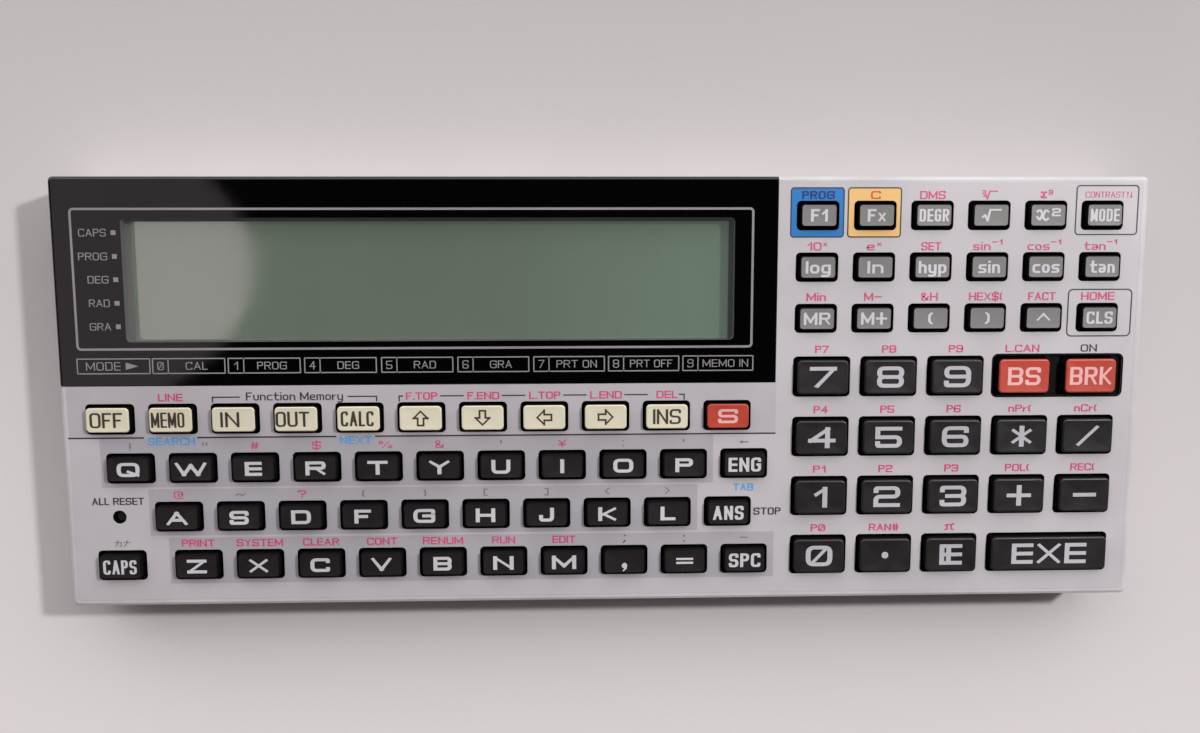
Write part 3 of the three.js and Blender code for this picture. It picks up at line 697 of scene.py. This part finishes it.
def cap(shape, place, kind, top, edging):
    """A key's column over its flange: drafted walls and flange in black with painted shade, a
    rolled edge and a dished top.
    """
    x, y, half_x, half_y = place
    grow = kind["edge"] + kind["draft"]
    foot = FLANGE_OVERLAP + kind["gap"] + grow
    corner = kind["corner"]
    shape.loft([centred(x, y, half_x + foot, half_y + foot, z, APERTURE_CORNER)
                for z in (FLANGE_BOTTOM, DECK_BOTTOM)], PAINTED_SHADE)
    edge = []
    for step in range(EDGE_STEPS + 1):
        angle = step / EDGE_STEPS * math.pi / 2
        out = kind["edge"] * math.cos(angle)
        up = kind["edge"] * (math.sin(angle) - 1)
        edge.append(centred(x, y, half_x + out, half_y + out, top + up,
                            corner - kind["edge"] + out))
    walls = [centred(x, y, half_x + grow, half_y + grow, DECK_BOTTOM, corner), edge[0]]
    field = []
    for step in range(DISH_RINGS):
        share = 1 - step / DISH_RINGS
        sink = kind["dish"] * (1 - share ** 2)
        field.append([(x + (px - x) * share, y + (py - y) * share, top - sink)
                      for px, py, _ in edge[-1]])
    shape.loft(walls, PAINTED_SHADE, bottom=False, top=False)
    shape.loft(edge, edging, bottom=False, top=False)
    shape.loft(field, PLASTIC, bottom=False)


def dished(place, kind, top):
    """The height of a cap's top face over a point."""
    x, y, half_x, half_y = place

    def level(px, py):
        share = min(1.0, max(abs(px - x) / half_x, abs(py - y) / half_y))
        return top - kind["dish"] * (1 - share ** 2)
    return level


ARROW_STROKE = 0.32
POINT_RADIUS = 0.62
COMMA_DROP = 0.75
COMMA_RADIUS = 0.5
COMMA_STROKE = 0.3
COMMA_TAIL = ((0.32, -0.8), (0.26, -1.25), (-0.2, -1.68))
openings = []
red_openings = {}
for node, (kind, plastic, slot, ink_used, height, legends) in KEY_ROWS.items():
    places = KEY_PLACES[node]
    top = corners(node)[1].z - CAP_DROP
    # Small keys and black letter keys get rolled edges in black with painted shade, in place of
    # the edge's highlight
    edge_in_painted_shade = kind is SMALL or (kind is LETTER and plastic is KEY_BLACK)
    shape = Shape()
    for place, (word, width, stroke) in zip(places, legends):
        cap(shape, place, kind, top, PAINTED_SHADE if edge_in_painted_shade else PLASTIC)
        x, y, half_x, half_y = place
        level = dished(place, kind, top)
        write(shape, word, x + WORD_SHIFTS.get(word, 0.0), y, TALLER.get(word, height), width,
              stroke, LEGEND, level, lifted=RAISED_ON_KEY)
        if node in ARROW_TURNS:
            c, s = ARROW_TURNS[node]
            outline = [(x + ARROW_UNIT * (c * px - s * py), y + ARROW_UNIT * (s * px + c * py))
                       for px, py in ARROW]
            ribbon(shape, outline + outline[:1], ARROW_STROKE, level, INK_RISE, LEGEND)
        if node == "key_point":
            disc(shape, x, y, POINT_RADIUS, level, LEGEND)
        if node == "lower_letter_keys" and not word:
            disc(shape, x, y - COMMA_DROP, COMMA_RADIUS, level, LEGEND)
            tail = [(x + px, y + py) for px, py in COMMA_TAIL]
            ribbon(shape, tail, COMMA_STROKE, level, INK_RISE + INK_STEP, LEGEND)
        reach = kind["gap"] + kind["draft"] + kind["edge"]
        opening = (x - half_x - reach, x + half_x + reach, y - half_y - reach, y + half_y + reach)
        if node in ("key_backspace", "key_break"):
            red_openings[node] = opening
        else:
            openings.append(opening)
    if len(places) > 1:
        row_y = key_y(node)
        shape.block((places[0][0], row_y - WEB_WIDTH / 2, FLANGE_BOTTOM + SLEEVE),
                    (places[-1][0], row_y + WEB_WIDTH / 2, DECK_BOTTOM - SLEEVE), PAINTED_SHADE)
    shape.piece(node + "_caps", (plastic, BLACK_AND_SHADE, ink_used), node, slot, (node,))

# The two red keys share one opening
backspace = red_openings["key_backspace"]
off_break = red_openings["key_break"]
openings.append((backspace[0], off_break[1] + BREAK_WELL_MARGIN, backspace[2], backspace[3]))


def opening_ring(opening, z, inset=0.0):
    """An opening's edge at a height."""
    x0, x1, y0, y1 = opening
    return ring(x0 + inset, x1 - inset, y0 + inset, y1 - inset, z, APERTURE_CORNER - inset)


def opening_outline(opening, inset=0.0):
    """An opening's edge in the plane."""
    return [p[:2] for p in opening_ring(opening, 0, inset)]


# Face plate
reset_low, reset_high = corners("reset_button")
RESET_X = (reset_low.x + reset_high.x) / 2
RESET_Y = (reset_low.y + reset_high.y) / 2
RESET_HOLE = 1.2
PLATE_GAP = 0.15
display_right = window_high.x + PLATE_GAP
display_bottom = window_low.y - PLATE_GAP
PLATE_CORNER = 0.25
PLATE_EASE = 0.05
outer = flat_ring(plate_low.x, plate_high.x, plate_low.y, plate_high.y, PLATE_CORNER)
# The plate goes round the display: its upper left corner gives way to three square ones
upper_right = outer[:CORNER_STEPS + 1]
lower_corners = outer[2 * (CORNER_STEPS + 1):]
plate_outline = [*upper_right, (display_right, plate_high.y), (display_right, display_bottom),
                 (plate_low.x, display_bottom), *lower_corners]
holes = [opening_outline(o) for o in openings]
holes.append(circle(RESET_X, RESET_Y, RESET_HOLE, HOLE_STEPS))
sheet("face_plate_sheet", [plate_outline, *holes], DECK_TOP, FACE, FACE_PAINT, PLATE_EASE,
      "face_metal", ("face_plate",))

# A black liner on the deck between the two red keys: painted shade in their shared well
LINER = 0.03
well = openings[-1]
liner_holes = [opening_outline(o, SLEEVE) for o in (backspace, off_break)]
sheet("well_liner", [opening_outline(well), *liner_holes], DECK_TOP, DECK_TOP + LINER, BLACK_AND_SHADE)

# A black border printed round their opening
WELL_BORDER = 0.34
sheet("well_border", [opening_outline(well, -WELL_BORDER), opening_outline(well)], FACE,
      FACE + BAND_RISE, BLACK_AND_SHADE)

# Black sleeves in the apertures, and round the reset hole: painted shade that darkens the gaps
sleeve_top = FACE - SLEEVE_SINK
sleeve_edges = ((DECK_BOTTOM, 0), (sleeve_top, 0), (sleeve_top, SLEEVE), (DECK_BOTTOM, SLEEVE))
sleeves = Shape()
for opening in openings:
    sleeves.loft([opening_ring(opening, z, inset) for z, inset in sleeve_edges], around=True)
sleeves.loft([[(x, y, z) for x, y in circle(RESET_X, RESET_Y, RESET_HOLE - inset, HOLE_STEPS)]
              for z, inset in sleeve_edges], around=True)
sleeves.piece("aperture_sleeves", (BLACK_AND_SHADE,), "root", "key_black")


def band(name, x0, x1, y0, y1, material, corner=0.02):
    """A printed field on the face, with the key apertures left out."""
    inside = [opening_outline(o) for o in openings
              if x0 < (o[0] + o[1]) / 2 < x1 and y0 < (o[2] + o[3]) / 2 < y1]
    return sheet(name, [flat_ring(x0, x1, y0, y1, corner), *inside], FACE, FACE + BAND_RISE,
                 material)


function_y = key_y("key_off")
middle_y = key_y("middle_letter_keys")
lower_y = key_y("lower_letter_keys")
small_x = [place[0] for place in KEY_PLACES["upper_small_keys"]]
small_y = key_y("upper_small_keys")
low_small_y = key_y("lower_small_keys")
ROW_LINE_Y = function_y - 3.37
ROW_DROP = 3.5
FIELDS = ((small_x[0] - 4.83, small_x[0] + 4.57), (small_x[1] - 4.86, small_x[1] + 4.57))
FIELD_LOW = small_y - 3.76
FIELD_HIGH = small_y + 4.85
FIELD_CORNER = 0.4

band("function_band", plate_low.x + 0.05, display_right + 0.1, ROW_LINE_Y, display_bottom - 0.02,
     FUNCTION_TONE)
# Each row's name, its first and last key on the band, how far the band passes them, and its top
for row, first, last, left, right, high in (
        ("upper", 0, 9, 5.3, 5.4, ROW_LINE_Y - 0.1), ("middle", 0, 8, 5.3, 5.5, middle_y + 5.1),
        ("lower", 1, 10, 5.2, 5.5, lower_y + 5.0)):
    node = row + "_letter_keys"
    band(row + "_row_band", key_x(node, first) - left, key_x(node, last) + right,
         key_y(node) - ROW_DROP, high, ROW_TONE)
band("blue_field", *FIELDS[0], FIELD_LOW, FIELD_HIGH, BLUE_LABEL, FIELD_CORNER)
band("orange_field", *FIELDS[1], FIELD_LOW, FIELD_HIGH, ORANGE_LABEL, FIELD_CORNER)

# Printing on the face
PINK, BLUE, DARK, SHADE, DEEP, ORANGE = range(6)
STROKE = 0.27
FINE_STROKE = 0.22
BOLD_STROKE = 0.34
# Marks so full of lines that they are drawn finer
FINE = "#%&@$"
LEGEND_RISE = 3.95
TOP_TEXT_RISE = 3.85
TAB_DROP = 4.4
NUMBER_RISE = 4.95
POWER_LIFT = 0.3
SHARP_SLANT = 0.18
face_print = Shape()
face_level = flat(FACE + BAND_RISE)


def face_text(text, x, y, width, mark, height=1.4, stroke=STROKE, slant=0.0,
              lifted=RAISED_LIFT):
    write(face_print, text, x, y, height, width, stroke, mark, face_level, slant, lifted)


def face_line(points, mark=DARK, stroke=FINE_STROKE):
    ribbon(face_print, points, stroke, face_level, INK_RISE, mark)


def face_box(x0, x1, y0, y1, corner):
    outline = flat_ring(x0, x1, y0, y1, corner)
    face_line(outline + outline[:1])


top_text_y = function_y + TOP_TEXT_RISE
in_x = key_x("key_in")
calc_x = key_x("key_calc")
memo_x = key_x("key_memo")
up_x = key_x("key_up")
insert_x = key_x("key_insert")

# The line under the function keys, with room for two words, and what is printed above them
for start, end in ((plate_low.x, memo_x - 5.4), (memo_x + 4.2, calc_x - 4.4),
                   (calc_x + 2.75, display_right)):
    face_line([(start, ROW_LINE_Y), (end, ROW_LINE_Y)], DARK, 0.26)
face_text("SEARCH", memo_x - 0.5, ROW_LINE_Y - 0.65, 8.3, BLUE, 1.5, 0.3)
face_text("NEXT", calc_x - 0.8, ROW_LINE_Y - 0.65, 5.7, BLUE, 1.5, 0.3)
face_text("LINE", memo_x - 0.3, top_text_y, 4.3, PINK)
face_text("Function Memory", in_x + 10.55, top_text_y + 0.1, 17.1, DARK, 1.5, 0.24)
bracket_low = function_y + 3.0
face_line([(in_x - 3.9, bracket_low), (in_x - 3.9, top_text_y), (in_x + 0.8, top_text_y)])
face_line([(in_x + 20.0, top_text_y), (calc_x + 3.1, top_text_y), (calc_x + 3.1, bracket_low)])
EDIT_KEYS = ("key_up", "key_down", "key_left", "key_right", "key_insert")
for node, word, width in zip(EDIT_KEYS, ("F.TOP", "F.END", "L.TOP", "L.END", "DEL"),
                             (5.6, 5.7, 5.6, 5.7, 3.8)):
    face_text(word, key_x(node) + 0.1, top_text_y, width, PINK)
face_line([(up_x - 3.9, bracket_low), (up_x - 3.9, top_text_y), (up_x - 3.3, top_text_y)])
for left, right in zip(EDIT_KEYS, EDIT_KEYS[1:]):
    face_line([(key_x(left) + 3.5, top_text_y), (key_x(right) - 3.5, top_text_y)])
face_line([(insert_x + 2.35, top_text_y), (insert_x + 3.2, top_text_y),
           (insert_x + 3.2, bracket_low)])

# Marks and words over the letter rows, from the first key that has one
MARK_SHIFTS = {'"': 2.2, "%": 1.3}
for node, first, marks in (
        ("upper_letter_keys", 0, (
            ("!", 0.3, SHADE), ('"', 0.9, SHADE), ("#", 1.4, PINK), ("$", 1.6, PINK),
            ("%", 2.4, PINK), ("&", 1.6, PINK), ("'", 0.3, SHADE), ("¥", 1.5, PINK),
            (":", 0.3, SHADE), ("'", 0.3, SHADE), ("←", 1.6, SHADE))),
        ("middle_letter_keys", 0, (
            ("@", 1.7, PINK), ("~", 1.9, SHADE), ("?", 1.5, PINK), ("(", 0.5, SHADE),
            (")", 0.5, SHADE), ("[", 0.8, SHADE), ("]", 0.8, SHADE), ("<", 1.0, SHADE),
            (">", 1.0, SHADE))),
        ("lower_letter_keys", 1, (
            ("PRINT", 5.9, PINK), ("SYSTEM", 8.3, PINK), ("CLEAR", 6.5, PINK),
            ("CONT", 5.5, PINK), ("RENUM", 7.3, PINK), ("RUN", 4.2, PINK), ("EDIT", 4.2, PINK),
            (";", 0.6, DARK), (":", 0.3, DARK), ("-", 1.4, SHADE)))):
    for index, (word, width, mark) in enumerate(marks, first):
        face_text(word, key_x(node, index) + MARK_SHIFTS.get(word, 0.0),
                  key_y(node) + LEGEND_RISE, width, mark,
                  stroke=FINE_STROKE if word in FINE else STROKE,
                  slant=SHARP_SLANT if word == "#" else 0.0)
face_text("TAB", key_x("upper_letter_keys", 10), key_y("upper_letter_keys") - TAB_DROP, 3.7,
          BLUE)
face_text("STOP", key_x("middle_letter_keys", 9) + 7.3, middle_y - 0.05, 5.0, DARK)
face_text("ALL RESET", RESET_X - 0.15, RESET_Y + 2.9, 9.2, DARK, 1.35, 0.24)
face_text("カナ", key_x("lower_letter_keys") + 0.15, lower_y + LEGEND_RISE + 0.1, 2.9, SHADE,
          1.3, 0.16)

# Words over the small keys. The two on the coloured fields are bold, in inks of their own.
FIELD_INKS = {"PROG": DEEP, "C": ORANGE}
for node, rise, words in (
        ("upper_small_keys", 3.6, (("PROG", 5.8), ("C", 1.8), ("DMS", 4.6), ("", 0),
                                   ("χ|3", 2.3))),
        ("middle_small_keys", 3.7, (("10|x", 3.6), ("e|x", 2.7), ("SET", 3.6),
                                    ("sin|-1", 5.3), ("cos|-1", 6.1), ("tan|-1", 6.0))),
        ("lower_small_keys", 3.85, (("Min", 3.5), ("M-", 3.2), ("&H", 3.0), ("HEX$(", 6.1),
                                    ("FACT", 5.0), ("HOME", 6.1)))):
    for index, (word, width) in enumerate(words):
        face_text(word, key_x(node, index), key_y(node) + rise, width,
                  FIELD_INKS.get(word, PINK), 1.5,
                  BOLD_STROKE if word in FIELD_INKS else STROKE,
                  lifted=POWER_LIFT if "-1" in word else RAISED_LIFT)
small_text_y = small_y + 3.65
face_text("3", small_x[3] - 1.05, small_text_y + 0.45, 0.7, PINK, 0.8, 0.16)
face_text("√", small_x[3] + 0.1, small_text_y - 0.05, 2.7, PINK, 1.6)
face_text("CONTRAST", small_x[5] + 0.4, small_text_y, 7.2, PINK, 1.1, 0.13)
# Two small arrows, one up and one down
ARROW_HALF = 0.5
BARB = 0.22
for offset, tip in ((4.45, 1), (5.1, -1)):
    arrow_x = small_x[5] + offset
    tip_y = small_text_y + ARROW_HALF * tip
    barb_y = small_text_y + BARB * tip
    face_line([(arrow_x, small_text_y - ARROW_HALF * tip), (arrow_x, tip_y)], PINK, 0.12)
    face_line([(arrow_x - BARB, barb_y), (arrow_x, tip_y), (arrow_x + BARB, barb_y)], PINK, 0.1)

# Words over the number keys
for word, name, width in (*zip(["P" + digit for digit in DIGITS], DIGITS,
                               (2.5, 2.6, 2.6, 2.6, 2.6, 2.6, 2.3, 2.6, 2.6)),
                          ("PØ", "0", 2.7), ("L.CAN", "backspace", 6.2),
                          ("nPr(", "multiply", 4.2), ("nCr(", "divide", 4.2),
                          ("POL(", "plus", 4.5), ("REC(", "minus", 4.5),
                          ("RAN#", "point", 5.5), ("π", "exponent", 1.8)):
    face_text(word, key_x(f"key_{name}"), key_y(f"key_{name}") + NUMBER_RISE, width, PINK)
face_text("ON", key_x("key_break"), key_y("key_break") + NUMBER_RISE, 3.0, DARK)

# Boxes round the coloured fields and two of the small keys
for field in FIELDS:
    face_box(*field, FIELD_LOW, FIELD_HIGH, 0.5)
face_box(small_x[5] - 4.78, small_x[5] + 6.4, small_y - 3.4, small_y + 5.25, 0.6)
face_box(small_x[5] - 5.38, small_x[5] + 6.2, low_small_y - 3.36, low_small_y + 5.04, 0.8)
face_print.piece("face_printing", (INK_PINK, INK_BLUE, INK_DARK, INK_SHADE, INK_DEEP_BLUE,
                                   INK_ORANGE), "root", "face_metal")

# Display window: a black surround with a rounded outer edge, and a clear pane in its opening
RIM_ROUND = 0.6
CASE_CORNER = 0.8
VIEW = (window_low.x + 12.1, window_high.x - 7.55, window_low.y + 7.7, window_high.y - 7.15)
VIEW_CORNER = 0.8
TINY = 0.02


def window_ring(z, inset):
    """The surround's outer edge, moved in at the left and at the top."""
    return ring(window_low.x + inset, window_high.x, window_low.y, window_high.y - inset, z,
                (TINY, CASE_CORNER - inset / 2, TINY, TINY))


surround = Shape()
levels = [window_ring(window_low.z, 0.0)]
for step in range(EDGE_STEPS + 1):
    angle = step / EDGE_STEPS * math.pi / 2
    levels.append(window_ring(FACE - RIM_ROUND * (1 - math.sin(angle)),
                              RIM_ROUND * (1 - math.cos(angle))))
levels.append(window_ring(FACE, RIM_ROUND + TINY))
for z in (FACE, window_low.z):
    levels.append(ring(*VIEW, z, VIEW_CORNER))
surround.loft(levels[:-1], bottom=False, top=False)
# The opening's inner wall is grey, a painted highlight
surround.loft(levels[-2:], 1, bottom=False, top=False)
surround.loft([levels[-1], levels[0]], bottom=False, top=False)
surround.piece("window_surround", (BLACK_GLOSS, WINDOW_EDGE_HIGHLIGHT), "root", "window_black",
               ("display_window",))
view_x0, view_x1, view_y0, view_y1 = VIEW
pane = Shape()
pane.loft([ring(view_x0 + TINY, view_x1 - TINY, view_y0 + TINY, view_y1 - TINY, z, VIEW_CORNER)
           for z in (window_low.z, FACE - TINY)])
pane.piece("window_pane", (CLEAR,), "root", "window_black")

# Printing on the window
WINDOW_STROKE = 0.18
window_print = Shape()
window_level = flat(FACE)


def window_text(text, x, y, width, height):
    write(window_print, text, x, y, height, width, WINDOW_STROKE, 0, window_level)


def window_box(x0, x1, y0, y1, corner, stroke):
    outline = flat_ring(x0, x1, y0, y1, corner)
    ribbon(window_print, outline + outline[:1], stroke, window_level, INK_RISE, 0)


window_box(window_low.x + 3.6, window_high.x - 4.36, window_low.y + 6.44, window_high.y - 5.6,
           0.6, 0.4)
LABEL_RIGHT = window_low.x + 9.62
LABEL_SPOT = window_low.x + 10.87
SPOT_HALF_X = 0.42
SPOT_HALF_Y = 0.4
for word, width, rise in (("CAPS", 4.75, 26.83), ("PROG", 5.0, 22.72), ("DEG", 3.6, 18.68),
                          ("RAD", 3.6, 14.57), ("GRA", 3.7, 10.45)):
    label_y = window_low.y + rise
    window_text(word, LABEL_RIGHT - width / 2, label_y, width, 1.35)
    window_print.block((LABEL_SPOT - SPOT_HALF_X, label_y - SPOT_HALF_Y, FACE),
                       (LABEL_SPOT + SPOT_HALF_X, label_y + SPOT_HALF_Y, FACE + INK_RISE))
MODE_LEFTS = [window_low.x + offset for offset in (
    3.35, 16.45, 29.65, 43.05, 56.6, 70.1, 83.6, 96.95, 110.3)]
MODE_WIDTH = 12.6
MODE_LOW = window_low.y + 2.15
MODE_HIGH = window_low.y + 4.77
MODE_MIDDLE = (MODE_LOW + MODE_HIGH) / 2
MODE_NUMBER = 2.7
MODE_TITLE = 4.5
MODE_TIP_BASE = 8.4
MODE_TIP = 10.6
MODE_TIP_HALF = 0.65
MODE_WORDS = (("", "MODE", 6.0), ("Ø", "CAL", 3.8), ("1", "PROG", 5.2), ("4", "DEG", 3.8),
              ("5", "RAD", 3.9), ("6", "GRA", 3.9), ("7", "PRT ON", 7.2), ("8", "PRT OFF", 7.6),
              ("9", "MEMO IN", 8.2))
for left, (number, word, width) in zip(MODE_LEFTS, MODE_WORDS):
    window_box(left, left + MODE_WIDTH, MODE_LOW, MODE_HIGH, 0.05, 0.2)
    if number:
        ribbon(window_print, [(left + MODE_NUMBER, MODE_LOW), (left + MODE_NUMBER, MODE_HIGH)],
               WINDOW_STROKE, window_level, INK_RISE, 0)
        window_text(number, left + MODE_NUMBER / 2, MODE_MIDDLE, 0.7 if number == "1" else 1.1,
                    1.5)
        window_text(word, left + (MODE_NUMBER + MODE_WIDTH) / 2, MODE_MIDDLE, width, 1.4)
    else:
        window_text(word, left + MODE_TITLE, MODE_MIDDLE, width, 1.5)
        window_print.prism([(left + MODE_TIP_BASE, MODE_MIDDLE - MODE_TIP_HALF),
                            (left + MODE_TIP, MODE_MIDDLE),
                            (left + MODE_TIP_BASE, MODE_MIDDLE + MODE_TIP_HALF)],
                           FACE, FACE + INK_RISE)
window_print.piece("window_printing", (INK_PANEL,), "root", "window_black")

# Carried-over CAD nodes
dress(CASE_PAINT, "case_silver", "upper_case", "lower_case", "battery_cover", "port_cover")
dress(FRAME_BLACK, "frame_black", "lcd_frame")
dress(LCD, "lcd_glass", "lcd_glass")
dress(RUBBER, "dark_rubber", "lcd_connector", "key_mat")
dress(BOARD, "board_green", "main_board")
dress(CHIP, "chip_black", "processor_chip", "rom_chip", "ram_chip", "port_socket")
dress(KEY_BLACK, "key_black", "reset_button")
dress(CELL_STEEL, "cell_steel", "main_cell_1", "main_cell_2", "backup_cell")
dress(STEEL, "sheet_steel", "cell_contact")
dress(STEEL, "screw_steel", *(f"case_screw_{number}" for number in range(1, 5)))

# The feet are rubber, though they are one solid with the lower shell
FOOT_DEPTH = 0.45
lower = NODES["lower_case"].data
lower.materials.append(RUBBER)
foot_top = min(v.co.z for v in lower.vertices) + FOOT_DEPTH * MM
for polygon in lower.polygons:
    if polygon.center.z < foot_top:
        polygon.material_index = 1

# Floor, lights and camera
FLOOR_SIZE = 6.0
# The floor is painted lighter towards the front and the left and darker towards the back and the
# right: painted light falloff
FLOOR_PAINTED_LIGHT = (238, 230, 229)
FLOOR_PAINTED_SHADE = (168, 162, 161)
FLOOR_AXIS = (0.35, 0.94, 0)
FLOOR_TURN = (-110, 110)
floor_mesh = bpy.data.meshes.new("floor")
floor_mesh.from_pydata([(FLOOR_SIZE * x, FLOOR_SIZE * y, 0)
                        for x, y in ((-1, -1), (1, -1), (1, 1), (-1, 1))], [], [(0, 1, 2, 3)])
floor_card = surface("floor_card", FLOOR_PAINTED_LIGHT, 0.7, 0.01, 0.05, 3.0, 900.0, 0.02)
grade(floor_card, FLOOR_AXIS, *FLOOR_TURN, FLOOR_PAINTED_LIGHT, FLOOR_PAINTED_SHADE)
floor_mesh.materials.append(floor_card)
floor = placed("floor", floor_mesh)


def lamp(name, place, aim, width, depth, power, color=(1, 1, 1)):
    """A soft lamp. Places and sizes are in metres."""
    data = bpy.data.lights.new(name, "AREA")
    data.shape = "RECTANGLE"
    data.size = width
    data.size_y = depth
    data.energy = power
    data.color = color
    made = placed(name, data)
    made.location = place
    made.rotation_mode = "QUATERNION"
    made.rotation_quaternion = (Vector(aim) - Vector(place)).to_track_quat("-Z", "Y")
    return data


lamp("key_light", (0.377, 0.206, 0.48), aim=(0, 0, 0), width=0.04, depth=0.04, power=2.5)
# The card at the left is what the display's left end mirrors
left_card = lamp("left_card", (-0.64, 0.013, 0.9), aim=(-0.64, 0.013, 0), width=0.6, depth=0.36,
                 power=0.39, color=(1, 0.84, 0.88))
left_card.shape = "ELLIPSE"

# The world is a ring of light. It fades from one height to another, and brightens from one depth
# to another, because the light comes in from behind the case.
FADE_HEIGHTS = (0.8, 0.93)
FADE = (1.0, 0.04)
BEHIND_DEPTHS = (0.1, 0.6)
BEHIND = (0.06, 2.3)
BACKDROP = 0.72
world = bpy.data.worlds.new("studio")
bpy.context.scene.world = world
world.use_nodes = True
sky = world.node_tree
split = sky.nodes.new("ShaderNodeSeparateXYZ")
sky.links.new(sky.nodes.new("ShaderNodeTexCoord").outputs["Generated"], split.inputs["Vector"])
both = sky.nodes.new("ShaderNodeMath")
both.operation = "MULTIPLY"
sky.links.new(span(sky, split.outputs["Z"], *FADE, *FADE_HEIGHTS), both.inputs[0])
sky.links.new(span(sky, split.outputs["Y"], *BEHIND, *BEHIND_DEPTHS), both.inputs[1])
# The camera itself sees a plain pale backdrop
seen = sky.nodes.new("ShaderNodeMix")
settings(seen, B=BACKDROP)
sky.links.new(sky.nodes.new("ShaderNodeLightPath").outputs["Is Camera Ray"],
              seen.inputs["Factor"])
sky.links.new(both.outputs["Value"], seen.inputs["A"])
background = sky.nodes["Background"]
settings(background, Color=(0.86, 0.86, 0.88, 1))
sky.links.new(seen.outputs["Result"], background.inputs["Strength"])

# Where the camera stands, and which way its right, its top and its back point
CAMERA_PLACE = Vector((-6.89, 25.08, 177.74 + FACE)) * MM
CAMERA_RIGHT = (0.99951, -0.00205, 0.03128)
CAMERA_UP = (0.00557, 0.99358, -0.11302)
CAMERA_BACK = (-0.03085, 0.11314, 0.9931)
camera_data = bpy.data.cameras.new("camera")
camera_data.lens = 30
camera_data.sensor_width = 36
camera_data.clip_start = 0.01
camera = placed("camera", camera_data)
axes = Matrix((CAMERA_RIGHT, CAMERA_UP, CAMERA_BACK)).transposed().to_4x4()
camera.matrix_world = Matrix.Translation(CAMERA_PLACE) @ axes
bpy.context.scene.camera = camera
bpy.context.scene.view_settings.view_transform = "Standard"
